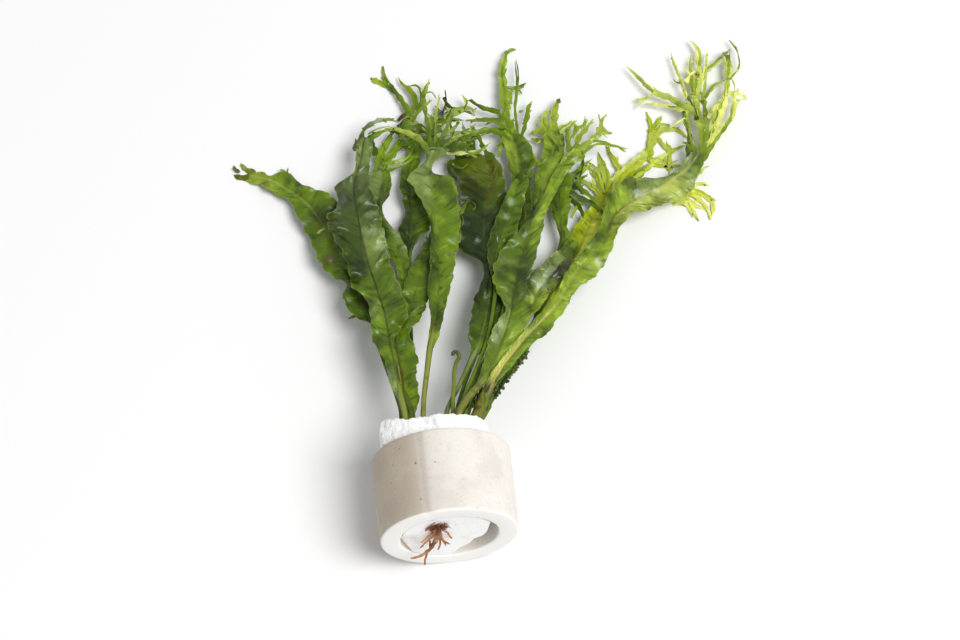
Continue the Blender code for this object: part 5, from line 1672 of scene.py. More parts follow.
BROAD_RIGHT = Frond(
    "frond_broad_right", Slot.LEAF,
    stem=((458, 413, 2.2), (465, 402, 2.3), (473, 392, 2.5), (481, 383, 2.4)),
    blade=(
        (481, 371, 487, 374, 492, 373), (486, 352, 497, 356, 508, 351), (490, 336, 503, 340, 520, 336),
        (498, 320, 508, 324, 529, 320), (506, 310, 511, 311, 531, 306), (500, 297, 513, 296, 529, 292),
        (494, 284, 516, 281, 526, 282), (493, 270, 519, 268, 532, 270), (498, 257, 523, 255, 536, 256),
        (505, 245, 526, 244, 539, 243), (517, 233, 530, 230, 543, 228), (530, 217, 537, 214, 545, 215),
        (539, 203, 545, 201, 550, 203), (546, 190, 551, 188, 557, 190), (552, 176, 558, 173, 565, 176),
        (560, 163, 567, 159, 576, 163), (567, 153, 575, 149, 585, 154),
    ),
    crest=(
        (2, 0.5, 568, 140, 568, 129, 577, 120), (1.7, 0.5, 580, 137, 587, 128, 593, 119),
        (2.2, 0.5, 589, 143, 597, 135, 601, 127, (
            (1.2, 0.5, 602, 120, 607, 114), (1.2, 0.5, 606, 131, 612, 134),
        )),
        (0.9, 0.5, 598, 144, 613, 146, 627, 149),
    ),
    strands=(
        (2.5, 0.5, 575, 145, 580, 147, 590, 141, 597, 135, 601, 128, 602, 120, 607, 114),
        (1.2, 0.3, 600, 132, 606, 133, 612, 134),
        (0.9, 0.6, 590, 141, 597, 141, 604, 142, 612, 145, 620, 147, 627, 149),
        (0.7, 0.2, 618, 147, 626, 152), (1.8, 0.5, 575, 142, 583, 131, 588, 126, 592, 121),
        (1.6, 0.6, 572, 138, 578, 128, 584, 125, 585, 116), (1.8, 0.5, 562, 150, 556, 140, 548, 133),
        (1.6, 0.1, 560, 133, 568, 127, 577, 121),
    ),
    finish=LeafFinish(
        left=(
            (0.1, FRESH), (0.22, LEAF), (0.35, SHEEN_GREY), (0.5, FRESH), (0.62, LEAF), (0.75, MOSS),
            (0.85, FRESH), (1, LIME),
        ),
        right=(
            (0.28, LIME), (0.4, FRESH), (0.55, MOSS), (0.65, FRESH), (0.75, LIME), (0.85, FRESH),
            (1, LIME),
        ),
        rib=((0, KHAKI), (0.1, STRAW), (0.3, LEAF), (0.6, RUST), (0.75, LIME), (1, LEAF)),
        crest=(PALE_LIME, LIME, LEAF), sheen=0.3,
        # The PAINTED_SHINE spots are painted highlights and the SHEEN_GREY spot partly painted sheen.
        stains_and_shine=(
            StainAndShine(525, 275, 2.2, BOTTLE, 0.7), StainAndShine(527, 262, 1.6, BARK, 0.5),
            StainAndShine(478, 386, 1.5, BARK, 0.6), StainAndShine(498, 324, 2.2, PAINTED_SHINE, 0.3),
            StainAndShine(495, 338, 1.8, PAINTED_SHINE, 0.3), StainAndShine(506, 262, 2.4, SHEEN_GREY, 0.5),
            StainAndShine(474, 392, 1.2, RUST, 0.6), StainAndShine(472, 404, 1.8, BARK, 0.8),
            StainAndShine(480, 395, 1.6, BARK, 0.8),
        ),
    ),
)

LONG_RIGHT = Frond(
    "frond_long_right", Slot.LEAF,
    stem=((478, 415, 3.8), (482, 402, 3.6), (489, 388, 2.8)),
    blade=(
        (490, 376, 494, 379, 498, 381), (500, 361, 503, 364, 509, 369), (512, 346, 516, 349, 524, 351),
        (523, 332, 527, 335, 537, 340), (533, 321, 538, 324, 549, 332), (541, 312, 546, 315, 555, 322),
        (550, 302, 555, 306, 565, 310), (558, 291, 564, 294, 571, 298), (563, 278, 572, 281, 580, 286),
        (570, 267, 581, 267, 592, 279), (579, 256, 593, 255, 603, 266), (588, 244, 602, 244, 612, 249),
        (598, 231, 608, 231, 616, 235), (603, 216, 612, 219, 622, 224), (606, 202, 618, 212, 633, 213),
        (612, 188, 630, 203, 643, 212), (627, 178, 645, 195, 657, 206), (647, 178, 660, 188, 671, 202),
        (665, 177, 673, 178, 685, 197), (678, 169, 685, 170, 694, 186), (686, 158, 694, 160, 700, 171),
        (695, 150, 699, 153, 704, 162),
    ),
    crest=(
        (1.8, 0.5, 691, 144, 688, 126, 683, 110, 668, 98, 653, 93, (
            (0.7, 0.5, 644, 99, 636, 100), (1.1, 0.5, 640, 80, 627, 67),
        )),
        (1.8, 0.5, 702, 140, 698, 122, 688, 103, (
            (0.6, 0.5, 672, 107, 656, 103, 643, 105), (1, 0.5, 680, 78, 671, 54),
        )),
        (2.2, 0.5, 704, 138, 699, 115, 694, 92, (
            (1.2, 0.5, 691, 74, 691, 55), (1.2, 0.5, 699, 70, 699, 50, 690, 40),
        )),
        (1.6, 0.5, 706, 140, 705, 118, 704, 98, (
            (1, 0.5, 706, 74, 706, 52), (0.8, 0.5, 712, 88, 725, 80),
        )),
        (1.8, 0.5, 709, 140, 716, 116, 724, 98, 728, 80, (
            (0.9, 0.5, 722, 60, 712, 68, 705, 72), (1, 0.5, 729, 62, 730, 50),
            (0.7, 0.5, 739, 66, 738, 53, 729, 40),
        )),
        (1.4, 0.5, 716, 140, 730, 120, 735, 101, 747, 99),
    ),
    strands=(
        (1.9, 0.95, 689, 160, 688, 150, 690, 138, 688, 128, 685, 120, 684, 113, 690, 106),
        (1.2, 0.9, 692, 152, 686, 143, 682, 142),
        (3, 0.6, 703, 152, 703, 135, 700, 122, 697, 110, 694, 98, 692, 88),
        (1.4, 0.3, 690, 108, 684, 90, 680, 78, 674, 65, 671, 53), (0.7, 0.7, 681, 83, 676, 82, 673, 79),
        (1.6, 0.3, 692, 98, 693, 80, 690, 66, 691, 55),
        (1.6, 0.2, 697, 95, 700, 75, 698, 62, 697, 50, 690, 40), (3, 0, 687, 83, 693, 76, 701, 71),
        (1.3, 0.3, 700, 88, 704, 72, 707, 60, 706, 52), (1.5, 0.4, 703, 74, 712, 66, 722, 57, 730, 49),
        (2, 0.2, 727, 55, 729, 66, 731, 78),
        (2, 0.4, 692, 116, 683, 105, 665, 95, 655, 92, 645, 84, 637, 75, 626, 66),
        (0.9, 0.3, 655, 93, 642, 101, 636, 108), (0.8, 0.1, 645, 98, 640, 99, 636, 99),
        (1.5, 0.1, 689, 113, 678, 109, 668, 106, 655, 104, 643, 103),
        (0.8, 0.3, 685, 118, 678, 122, 670, 128),
        (2.2, 0.2, 706, 152, 712, 138, 717, 125, 722, 112, 726, 100, 727, 88, 727, 78),
        (1.8, 0.1, 726, 96, 735, 93, 741, 95, 747, 99), (0.8, 0.2, 737, 95, 738, 88),
        (1.6, 0.2, 734, 95, 735, 105, 734, 113, 726, 123, 716, 135, 708, 148),
        (0.8, 0.1, 728, 80, 732, 74, 738, 70, 740, 62, 739, 52, 729, 40),
        (0.5, 0.6, 731, 78, 734, 84, 735, 92), (1.6, 0.3, 710, 132, 714, 115, 718, 105, 725, 97),
        (1.2, 0.6, 703, 102, 707, 95, 712, 87, 725, 80), (1, 0.4, 700, 174, 704, 168, 709, 166),
        (1.8, 0.8, 697, 120, 694, 110, 688, 98, 684, 88),
        (1.8, 0.7, 704, 130, 705, 114, 703, 100, 699, 88),
        (1.4, 0.2, 708, 118, 712, 112, 716, 106, 722, 102), (1, 0.1, 690, 74, 686, 70, 684, 68),
        (1.4, 0.1, 695, 80, 701, 78, 705, 76),
    ),
    ruffle=1.0, wave=8.0,
    finish=LeafFinish(
        left=(
            (0.25, PALE_LIME), (0.32, FRESH), (0.42, LIME), (0.56, LIME), (0.65, FRESH), (0.75, LIME),
            (0.85, SHEEN_GREY),
        ),
        right=(
            (0.22, FRESH), (0.45, LIME), (0.65, LIME), (0.76, PALE_LIME), (0.86, PALE_LIME),
            (0.94, SHEEN_GREY), (1, FRESH),
        ),
        rib=(
            (0.08, KHAKI), (0.14, TAN), (0.35, TAN), (0.45, STRAW), (0.6, LIME), (0.7, RUST), (0.85, TAN),
        ),
        crest=(CREAM, LIME, MOSS), sheen=0.25, rib_fade=0,
        # The PAINTED_SHINE spots are painted highlights.
        stains_and_shine=(
            StainAndShine(480, 402, 1.8, RUST, 0.7), StainAndShine(484, 388, 1.6, BARK, 0.7),
            StainAndShine(477, 408, 1.4, BARK, 0.8), StainAndShine(470, 410, 1.4, BARK, 0.7),
            StainAndShine(476, 396, 1.8, BARK, 0.7), StainAndShine(695, 74, 0.6, RUST, 0.9),
            StainAndShine(698, 75, 0.5, BARK, 0.7), StainAndShine(692, 163, 2.2, SLATE, 0.5),
            StainAndShine(698, 156, 1.6, SLATE, 0.6), StainAndShine(598, 262, 1.8, PAINTED_SHINE, 0.6),
            StainAndShine(590, 269, 1.4, PAINTED_SHINE, 0.5), StainAndShine(640, 196, 1.8, PAINTED_SHINE, 0.5),
            StainAndShine(655, 191, 1.4, PAINTED_SHINE, 0.5), StainAndShine(632, 184, 1.6, SLATE, 0.4),
            StainAndShine(664, 199, 1.2, PAINTED_SHINE, 0.4),
        ),
    ),
)

FRONDS = (
    FAR_LEFT, DARK_CENTRE, TALL_LEFT, SHORT_BRIGHT, BROAD_LEFT, CENTRE, UNDER_RIGHT, YELLOW_FROND, HANGING,
    CRUMPLED, FEATHERED, DARK_RIGHT, GLOSSY, PLUME, SPORE, BROAD_RIGHT, LONG_RIGHT,
)


@dataclass
class Fern:
    """All the fronds, each on its own solid."""

    sight: Sight
    nodes: dict[str, Piece]
    box: Box

    def build(self) -> None:
        """Models and finishes every frond. The broad right one carries the scales of the stems' feet."""
        for frond in FRONDS:
            own = Solid(self.sight, [self.nodes[frond.node]])
            others = Solid(self.sight, [node for name, node in self.nodes.items() if name != frond.node])
            piece = Growth(frond, self.sight, own, others, self.box).build()
            if frond is BROAD_RIGHT:
                scales = Scales(self.sight, Solid(self.sight, self.nodes.values())).build()
                piece = Bench.join(piece.name, [piece, *scales])
            middles = [own.metres_at(stain.x, stain.y) for stain in frond.finish.stains_and_shine]
            Bench.hand_over(piece, frond.node, frond.slot, frond.finish.material(frond.node, middles))


@dataclass(frozen=True)
class CeramicFinish:
    """Unglazed cream ceramic with taupe patches, a mould seam and brown specks, with painted shade on the
    left flank and painted light on the foot face.

    Widths are in metres: SEAM across the seam, SHADED_FLANK where the painted shade of the left flank
    starts and ends beside it, and LIT_FOOT how far up from the foot the painted light of the foot face
    reaches. SEAM_TOP is how high the seam is.
    """

    cream: Colour = paint(232, 227, 219)
    taupe: Colour = paint(221, 214, 205)
    speck: Colour = paint(92, 62, 40)
    # Painted light: the foot face, turned to the light, is whiter.
    foot: Colour = paint(246, 244, 240)
    # Painted shade: the left flank, turned from the light, is darker and warmer.
    flank_shade: Colour = paint(218, 210, 198)

    SHADED_FLANK = (0.0036, -0.0044)
    SHADED_FLANK_FRAY = 0.006
    SEAM = (0.0012, 0.0002)
    SEAM_FRAY = 0.002
    SEAM_TOP = (0.034, 0.037)
    LIT_FOOT = (0.0007, 0.0002)

    def material(self, seam: float, foot_y: float, specks: list[tuple[StainAndShine, Array]]) -> Material:
        """Makes the ceramic.

        Args:
            seam: the seam's x, in metres.
            foot_y: the foot's y, in metres.
            specks: the dark specks, and where they are in metres.

        Returns:
            The material.
        """
        graph = Graph("unglazed_ceramic")
        place = graph.place()
        x, y, z = graph.parts_of(place)
        broad = graph.cloud(place, 14.0, seed=3.0)
        fine = graph.cloud(place, 0.9, seed=9.0)
        grain = graph.cloud(place, 0.25, 2.0, seed=4.0)
        rare = graph.cloud(place, 4.5, 1.0, 0.5, seed=21.0).step(0.53, 0.58)
        speck = (graph.cells(place, 3.4) + (fine - 0.5) * 0.12).step(0.09, 0.05) * rare
        colour = graph.mix(broad.step(0.4, 0.62), self.cream, self.taupe)
        colour = graph.mix(fine.step(0.5, 0.75) * 0.4, colour, self.taupe, "MULTIPLY")
        colour = graph.mix(speck * 0.85, colour, self.speck)
        # Painted shade: the left flank, away from the light, is darkened.
        flank = (x - seam + (broad - 0.5) * self.SHADED_FLANK_FRAY).step(*self.SHADED_FLANK)
        colour = graph.mix(flank, colour, self.flank_shade, "MULTIPLY")
        line = abs(x - seam + (fine - 0.5) * self.SEAM_FRAY).step(*self.SEAM) * z.step(*self.SEAM_TOP)
        colour = graph.mix(line * 0.12, colour, self.speck, "MULTIPLY")
        # Painted light: the foot face, turned to the light, is whitened.
        colour = graph.mix((y - foot_y).step(*self.LIT_FOOT), colour, self.foot)
        for stain, middle in specks:
            colour = graph.spotted(colour, stain, middle, place, fine)
        height = broad * 0.4 + fine * 0.4 + grain * 0.3 - speck
        return graph.close(
            Base_Color=colour, Roughness=fine * 0.2 + 0.62, Normal=graph.bump(height, 0.25, 0.7),
            Specular_IOR_Level=0.35,
        )


@dataclass
class CeramicRing:
    """The open ceramic tube that the plant stands in, lying on its side."""

    sight: Sight
    node: Piece
    finish: CeramicFinish = CeramicFinish()

    RADIUS = 20.0
    BORE = 14.0
    LENGTH = 25.0
    AXIS_HEIGHT = 19.957
    EDGE = 0.7
    EDGE_STEPS = 4
    EDGE_ANGLE = math.radians(50)
    SIDES = 128
    SLICE = 1.5
    FOOT_SHRINK = 0.985
    UNEVEN = 0.06
    SEAM_X = -5.6
    # Each speck's photo x and y, and its reach
    SPECKS = (
        (415.5, 463, 0.45), (435, 462, 0.28), (455.5, 503, 0.28), (400.5, 503.5, 0.28), (391, 483, 0.22),
        (399, 449, 0.22), (478, 508, 0.25),
    )
    CHIP = (-5.6, -25.0, 38.7)
    CHIP_REACH = 1.5
    CHIP_DEPTH = 0.35
    LOWEST = 0.02

    def build(self) -> None:
        """Models the ring from a cylinder, and finishes it."""
        middle = self.sight.metres(np.array([0.0, -self.LENGTH / 2, self.AXIS_HEIGHT]))
        bpy.ops.object.select_all(action="DESELECT")
        bpy.ops.mesh.primitive_cylinder_add(
            vertices=self.SIDES, radius=self.RADIUS * MM, depth=self.LENGTH * MM, location=middle,
            rotation=(math.pi / 2, 0, 0),
        )
        ring = bpy.context.active_object
        ring.name = "ceramic_ring_piece"
        ring.data.name = ring.name
        bpy.ops.object.transform_apply(location=True, rotation=True, scale=True)
        bpy.ops.object.mode_set(mode="EDIT")
        bpy.ops.mesh.select_mode(type="FACE")
        self.pick_faces(ring, lambda face: abs(face.normal.y) > 0.9)
        bpy.ops.mesh.inset(thickness=(self.RADIUS - self.BORE) * MM, depth=0)
        bpy.ops.mesh.bridge_edge_loops()
        bpy.ops.object.mode_set(mode="OBJECT")
        Bench.modify(ring, "BEVEL", width=self.EDGE * MM, segments=self.EDGE_STEPS, limit_method="ANGLE",
                     angle_limit=self.EDGE_ANGLE)
        self.slice_across(ring)
        self.weather(ring)
        Bench.hand_over(ring, "ceramic_ring", Slot.CERAMIC, self.dress())

    def dress(self) -> Material:
        """The ceramic, with its seam, the painted light of its foot face and its specks where they are."""
        solid = Solid(self.sight, [self.node])
        specks = []
        for x, y, reach in self.SPECKS:
            specks.append((StainAndShine(x, y, reach, self.finish.speck, 0.8), solid.metres_at(x, y)))
        ends = self.sight.metres(np.array([self.SEAM_X, -self.LENGTH, 0.0]))
        return self.finish.material(float(ends[0]), float(ends[1]), specks)

    @staticmethod
    def pick_faces(ring: Piece, wanted: Callable[[bpy.types.MeshPolygon], bool]) -> None:
        """Selects the faces for which a test is true, in edit mode.

        Args:
            ring: the piece.
            wanted: the test of one face.
        """
        bpy.ops.mesh.select_all(action="DESELECT")
        bpy.ops.object.mode_set(mode="OBJECT")
        for face in ring.data.polygons:
            face.select = wanted(face)
        bpy.ops.object.mode_set(mode="EDIT")

    def slice_across(self, ring: Piece) -> None:
        """Cuts the walls into short lengths, so that the surface can be a little uneven."""
        end = self.sight.metres(np.zeros(3))[1]
        Bench.pick(ring)
        bpy.ops.object.mode_set(mode="EDIT")
        for step in np.arange(self.SLICE, self.LENGTH - 1, self.SLICE):
            bpy.ops.mesh.select_all(action="SELECT")
            bpy.ops.mesh.bisect(plane_co=(0, end - step * MM, 0), plane_no=(0, 1, 0))
        bpy.ops.object.mode_set(mode="OBJECT")

    def weather(self, ring: Piece) -> None:
        """Makes the wall a little uneven, and chips the foot's edge."""
        points = self.sight.corners(ring)
        out = points - [0.0, 0.0, self.AXIS_HEIGHT]
        out[:, 1] = 0
        radius = np.linalg.norm(out, axis=1, keepdims=True)
        rough = np.array([noise.noise(Vector(p) * 0.22) for p in points])[:, None]
        shrink = 1 - (1 - self.FOOT_SHRINK) * np.clip(-points[:, 1:2] / self.LENGTH - 0.5, 0, 0.5) * 2
        inner = radius < (self.BORE + self.RADIUS) / 2
        shrunk = points + out * np.where(inner, 0.0, shrink - 1)
        points = shrunk + out / radius * (rough - 0.5) * self.UNEVEN
        near = np.linalg.norm(points - np.array(self.CHIP), axis=1, keepdims=True)
        chip = np.clip(1 - near / self.CHIP_REACH, 0, 1)
        points = points + [0.0, 1.0, -1.0] * chip * self.CHIP_DEPTH
        points[:, 2] = np.maximum(points[:, 2], self.LOWEST)
        self.sight.move(ring, points)


@dataclass(frozen=True)
class FoamFinish:
    """White open foam, a little stained near the plant."""

    white: Colour = paint(254, 254, 253)
    stain: Colour = paint(240, 238, 232)

    def material(self) -> Material:
        """Makes the foam."""
        graph = Graph("white_foam")
        place = graph.place()
        cells = graph.cells(place, 0.8, "DISTANCE_TO_EDGE")
        broad = graph.cloud(place, 5.0, seed=2.0)
        height = cells.step(0.0, 0.3) * -1 + broad
        return graph.close(
            Base_Color=graph.mix(broad.step(0.5, 0.75) * 0.7, self.white, self.stain),
            Roughness=broad * 0.1 + 0.85, Normal=graph.bump(height, 0.15, 0.5), Specular_IOR_Level=0.2,
            Subsurface_Weight=0.3, Subsurface_Radius=(1.0, 1.0, 1.0), Subsurface_Scale=MM,
        )


@dataclass
class FoamWrap:
    """The white foam round the plant's base, torn along its lip.

    Angles round the ring's axis are in degrees, from its right side upwards. FOOT_SLOT is the
    slot's middle x and z at the foot, and half its width and height.
    """

    sight: Sight
    node: Piece
    finish: FoamFinish = FoamFinish()

    CELL = 0.42
    TEAR = 0.34
    TEAR_SCALE = 0.8
    PIT = 0.15
    PIT_SCALE = 1.3
    LIP_START = 0.8
    LOWEST = 0.05
    BORE = 13.75
    LOW_LEFT = 200.0
    LOW_LEFT_REACH = 86.0
    SWELL = 0.7
    DENT = 192.0
    DENT_REACH = 26.0
    DENT_DEPTH = 1.5
    DENT_START = 9.0
    FOOT_START = -20.0
    FOOT_SLOT = (-3.0, 26.0, 3.7, 3.5)
    SLOT_REACH = 2.2
    SLOT_LEFT = 0.5
    FOOT_PUSH = 1.2
    CORNER = -9.0
    CORNER_REACH = 5.0
    CORNER_RISE = 2.0

    def build(self) -> None:
        """Models the foam on its solid, and finishes it."""
        mesh = self.node.data.copy()
        foam = bpy.data.objects.new("foam_wrap_piece", mesh)
        mesh.name = foam.name
        bpy.context.scene.collection.objects.link(foam)
        Bench.close_up(foam, 1e-6)
        Bench.modify(foam, "REMESH", mode="VOXEL", voxel_size=self.CELL * MM)
        points = self.sight.corners(foam)
        normals = np.array([vertex.normal for vertex in foam.data.vertices])
        tear = np.array([noise.fractal(Vector(p) * self.TEAR_SCALE, 0.8, 2.0, 3) for p in points])
        pits = np.array([noise.fractal(Vector(p) * self.PIT_SCALE, 0.7, 2.0, 2) for p in points])
        free = np.clip((points[:, 1] - self.LIP_START) / 1.5, 0, 1)
        move = free * (tear * self.TEAR - np.abs(pits) * self.PIT)
        points = points + normals * move[:, None]
        self.close_foot(points)
        self.swell_foot(points)
        self.lift_corner(points)
        points[:, 2] = np.maximum(points[:, 2], self.LOWEST)
        self.sight.move(foam, points)
        Bench.hand_over(foam, "foam_wrap", Slot.FOAM, self.finish.material())

    def close_foot(self, points: Array) -> None:
        """Presses the foam round the stalk of roots, where the slot comes out at the foot."""
        slot_x, slot_z, half_width, half_height = self.FOOT_SLOT
        x, z = points[:, 0] - slot_x, points[:, 2] - slot_z
        reach = (np.abs(x / half_width) ** 4 + np.abs(z / half_height) ** 4) ** 0.25
        closer = np.interp(reach, (0.0, 1.0, self.SLOT_REACH), (0.0, self.SLOT_LEFT, self.SLOT_REACH))
        near = np.clip((self.FOOT_START + 1 - points[:, 1]) / 3, 0, 1)
        share = np.where(reach < self.SLOT_REACH, closer / np.maximum(reach, 0.1), 1.0) * near + 1 - near
        points[:, 0] = x * share + slot_x
        points[:, 2] = z * share + slot_z

    def swell_foot(self, points: Array) -> None:
        """Presses the foam against the low left of the bore, and nearly flush with the ring's foot."""
        x, z = points[:, 0].copy(), points[:, 2] - CeramicRing.AXIS_HEIGHT
        turn = np.degrees(np.arctan2(z, x)) % 360
        near = np.clip((self.FOOT_START - points[:, 1]) / 3, 0, 1)
        swell = np.clip(1 - ((turn - self.LOW_LEFT) / self.LOW_LEFT_REACH) ** 2, 0, 1) * near * self.SWELL
        radius = np.maximum(np.hypot(x, z), 0.1)
        grow = np.minimum(1 + swell, np.maximum(self.BORE / radius, 1))
        points[:, 0] = x * grow
        points[:, 2] = z * grow + CeramicRing.AXIS_HEIGHT
        dent = np.clip(1 - ((turn - self.DENT) / self.DENT_REACH) ** 2, 0, 1)
        dent *= np.clip((radius * grow - self.DENT_START) / 1.5, 0, 1)
        points[:, 1] += near * (dent * self.DENT_DEPTH - self.FOOT_PUSH)

    def lift_corner(self, points: Array) -> None:
        """Draws the lip's left corner out, as it is torn."""
        share = np.clip((self.CORNER - points[:, 0]) / self.CORNER_REACH, 0, 1)
        points[:, 1] += share * np.clip((points[:, 1] - 1) / 5, 0, 1) * self.CORNER_RISE


@dataclass(frozen=True)
class RootFinish:
    """Dark hairy brown at the crown and orange-brown along the roots."""

    dark: Colour = paint(118, 70, 42)
    brown: Colour = paint(164, 106, 66)
    tan: Colour = paint(190, 142, 98)

    def material(self) -> Material:
        """Makes the roots' brown."""
        graph = Graph("root_brown")
        place = graph.place()
        broad = graph.cloud(place, 3.0, seed=5.0)
        fine = graph.cloud(place, 0.5, seed=8.0)
        _, along, shade = graph.fact("leaf")
        colour = graph.mix((along + broad - 0.5).step(0.2, 0.8), self.dark, self.brown)
        colour = graph.mix(shade.step(0.2, 1.0) * broad.step(0.4, 0.7), colour, self.tan)
        return graph.close(Base_Color=colour, Roughness=fine * 0.2 + 0.6, Normal=graph.bump(fine, 0.15),
                           Specular_IOR_Level=0.4)


@dataclass
class Rhizome:
    """The creeping stem in the foam, and its roots out of the ring's foot."""

    sight: Sight
    finish: RootFinish = RootFinish()

    # The root's thickness, and the photo x and y and the working y of each of its points
    ROOTS = (
        (1.9, (438, 532, -24.6), (434.5, 543, -26.2), (428, 551, -27.6), (418.5, 556.6, -28.6),
         (410, 558.7, -29.2)),
        (0.7, (428, 551, -27.6), (425.5, 558, -28.8), (425, 565, -29.6)),
        (0.8, (436, 531, -24.4), (428, 537, -25.4), (421, 543, -26.6)),
        (0.7, (435, 534, -24.6), (427, 541, -25.8), (420, 548, -27.2)),
        (0.8, (440, 535, -24.6), (444, 542, -25.8), (446, 546, -26.6)),
        (0.8, (439, 536, -24.6), (440, 544, -25.8), (438, 550, -26.8)),
        (0.6, (445, 529, -24.2), (449, 535, -25.0), (452, 538, -25.6)),
        (0.7, (434, 525, -24.0), (428, 528, -24.6), (425, 531, -25.2)),
        (0.6, (441.8, 535.5, -24.8), (444, 541, -25.8), (450, 544, -27.2)),
        (0.5, (430, 541, -25.6), (430, 547, -26.4)),
    )
    CROWN = (-3.0, -22.5, 25.6)
    CROWN_END = -25.0
    STEPS = 40
    TIP = 0.25
    TUFT = (438, 525)
    TUFT_Y = -24.4
    HAIRS = 420
    HAIR = 0.11
    HAIR_STEPS = 5
    CORE_SPAN = (-9.6, 9.8)
    CORE = (-5.0, 22.4)
    STALK = ((-0.6, -5.0, 22.4), (-2.0, -11.0, 23.8), (-3.0, -18.0, 25.4), (-3.0, -24.4, 26.0))
    STALK_RADII = (1.8, 1.7)
    LOWEST = 0.5
    WIDE_WAY = np.array([0.31, 0.2, 0.93])

    def build(self) -> None:
        """Models the stem, the stalk, the roots and their hairs, and finishes them."""
        random = np.random.default_rng(7)
        xs = np.linspace(*self.CORE_SPAN, self.STEPS)
        core = together(xs, *self.CORE)
        lumps = 1.9 + 0.3 * np.sin(xs * 1.7)
        parts = [self.strand(core, lumps * 0.9, 0.0, 16)]
        stalk = even_line(np.array(self.STALK), self.STEPS)
        parts.append(self.strand(stalk, np.linspace(*self.STALK_RADII, self.STEPS), 0.0, 16))
        for thickness, *route in self.ROOTS:
            spots = [self.sight.on_plane((x, y), root_y) for x, y, root_y in route]
            if route[0][2] > self.CROWN_END:
                spots.insert(0, np.array(self.CROWN))
            line = even_line(np.array(spots), self.STEPS)
            line += np.stack([soften(random.normal(0, 0.12, self.STEPS), 3) for _ in range(3)], axis=1)
            bumps = 1 + 0.15 * np.sin(np.arange(self.STEPS) * 1.3)
            radii = np.linspace(thickness / 2, self.TIP, self.STEPS) * bumps
            parts.append(self.strand(line, radii, 1.0, 8))
        tuft = self.sight.on_plane(self.TUFT, self.TUFT_Y)
        for _ in range(self.HAIRS):
            parts.append(self.hair(tuft, random))
        piece = Bench.join("rhizome_piece", parts)
        Bench.hand_over(piece, "rhizome_with_roots", Slot.ROOT, self.finish.material())

    def hair(self, tuft: Array, random: np.random.Generator) -> Piece:
        """One fine dark hair of the tuft in the foot.

        Args:
            tuft: the tuft's middle.
            random: the random numbers of the roots.

        Returns:
            The hair.
        """
        away = random.normal(0, 1, 3) * [1.0, 0.7, 0.9]
        way = away * [0.5, 0.0, 0.5] + random.normal(0, 0.5, 3) + [-0.3, -0.9, -0.3]
        reach = random.uniform(0.7, 1.9)
        steps = np.linspace(0, 1, self.HAIR_STEPS)[:, None]
        bend = random.normal(0, 0.12, (self.HAIR_STEPS, 3)) * steps
        line = tuft + away + way / np.linalg.norm(way) * steps * reach + bend
        return self.strand(line, np.linspace(self.HAIR, 0.05, self.HAIR_STEPS), random.uniform(0.0, 0.6), 4)

    def strand(self, line: Array, radii: Array, shade: float, sides: int) -> Piece:
        """A round strand, kept off the surface.

        Args:
            line: its middle line's places.
            radii: its radius at each of them.
            shade: 0 at the dark crown to 1 for a tan root.
            sides: how many sides it has.

        Returns:
            The strand.
        """
        along = np.linspace(0, 1, len(line))[:, None] * min(shade * 2, 1)
        facts = {"leaf": together(np.zeros((1, sides + 1)), along, shade)}
        line[:, 2] = np.maximum(line[:, 2], self.LOWEST)
        return Bench.tube("strand", self.sight.metres(line), radii, radii, self.WIDE_WAY, facts, sides)


@dataclass(frozen=True)
class YoungStemFinish:
    """Olive green, darker towards the curl."""

    green: Colour = paint(108, 128, 22)
    olive: Colour = paint(78, 98, 16)
    dark: Colour = paint(58, 66, 26)

    def material(self) -> Material:
        """Makes the young stem's green."""
        graph = Graph("young_stem_green")
        _, along, _ = graph.fact("leaf")
        fine = graph.cloud(graph.place(), 0.8, seed=2.0)
        stops = ((0.2, self.green), (0.65, self.green), (0.82, self.olive), (1.0, self.dark))
        return graph.close(
            Base_Color=graph.ramp(stops, along + (fine - 0.5) * 0.2), Roughness=fine * 0.2 + 0.3,
            Normal=graph.bump(fine, 0.1), Specular_IOR_Level=0.5, Coat_Weight=0.2,
        )


@dataclass
class Crozier:
    """The young frond that is still curled up at its tip."""

    sight: Sight
    own: Solid
    finish: YoungStemFinish = YoungStemFinish()

    ROUTE = (
        (453, 412), (453, 398), (454, 384), (454.5, 370), (456.5, 362), (459, 358), (458, 353),
        (455, 351.5), (452.8, 353), (453.4, 356),
    )
    STEM = 0.62
    CURL = 0.55
    BUD = 0.7
    STEPS = 90
    HIDDEN_STEPS = 20
    SIDES = 12

    def build(self) -> None:
        """Models the stem with its curl, and finishes it."""
        spots = even_line(np.array(self.ROUTE, float), self.STEPS)
        line = self.sight.at(spots, soften(self.own.depths_at(spots) + self.STEM, 12))
        base = self.own.middle_at(Growth.ROOT_Y)
        steps = np.linspace(0, 1, self.HIDDEN_STEPS, endpoint=False)[:, None]
        line = soften(np.concatenate([base + (line[0] - base) * steps, line]), 3)
        along = np.linspace(0, 1, len(line))
        radii = np.interp(along, (0, 0.8, 0.97, 1), (self.STEM, self.STEM, self.CURL, self.BUD))
        facts = {"leaf": together(np.zeros((1, self.SIDES + 1)), along[:, None], 0.5)}
        line = self.sight.metres(line)
        stem = Bench.tube("crozier_piece", line, radii, radii, self.sight.right, facts, self.SIDES)
        Bench.hand_over(stem, "crozier", Slot.YOUNG_STEM, self.finish.material())


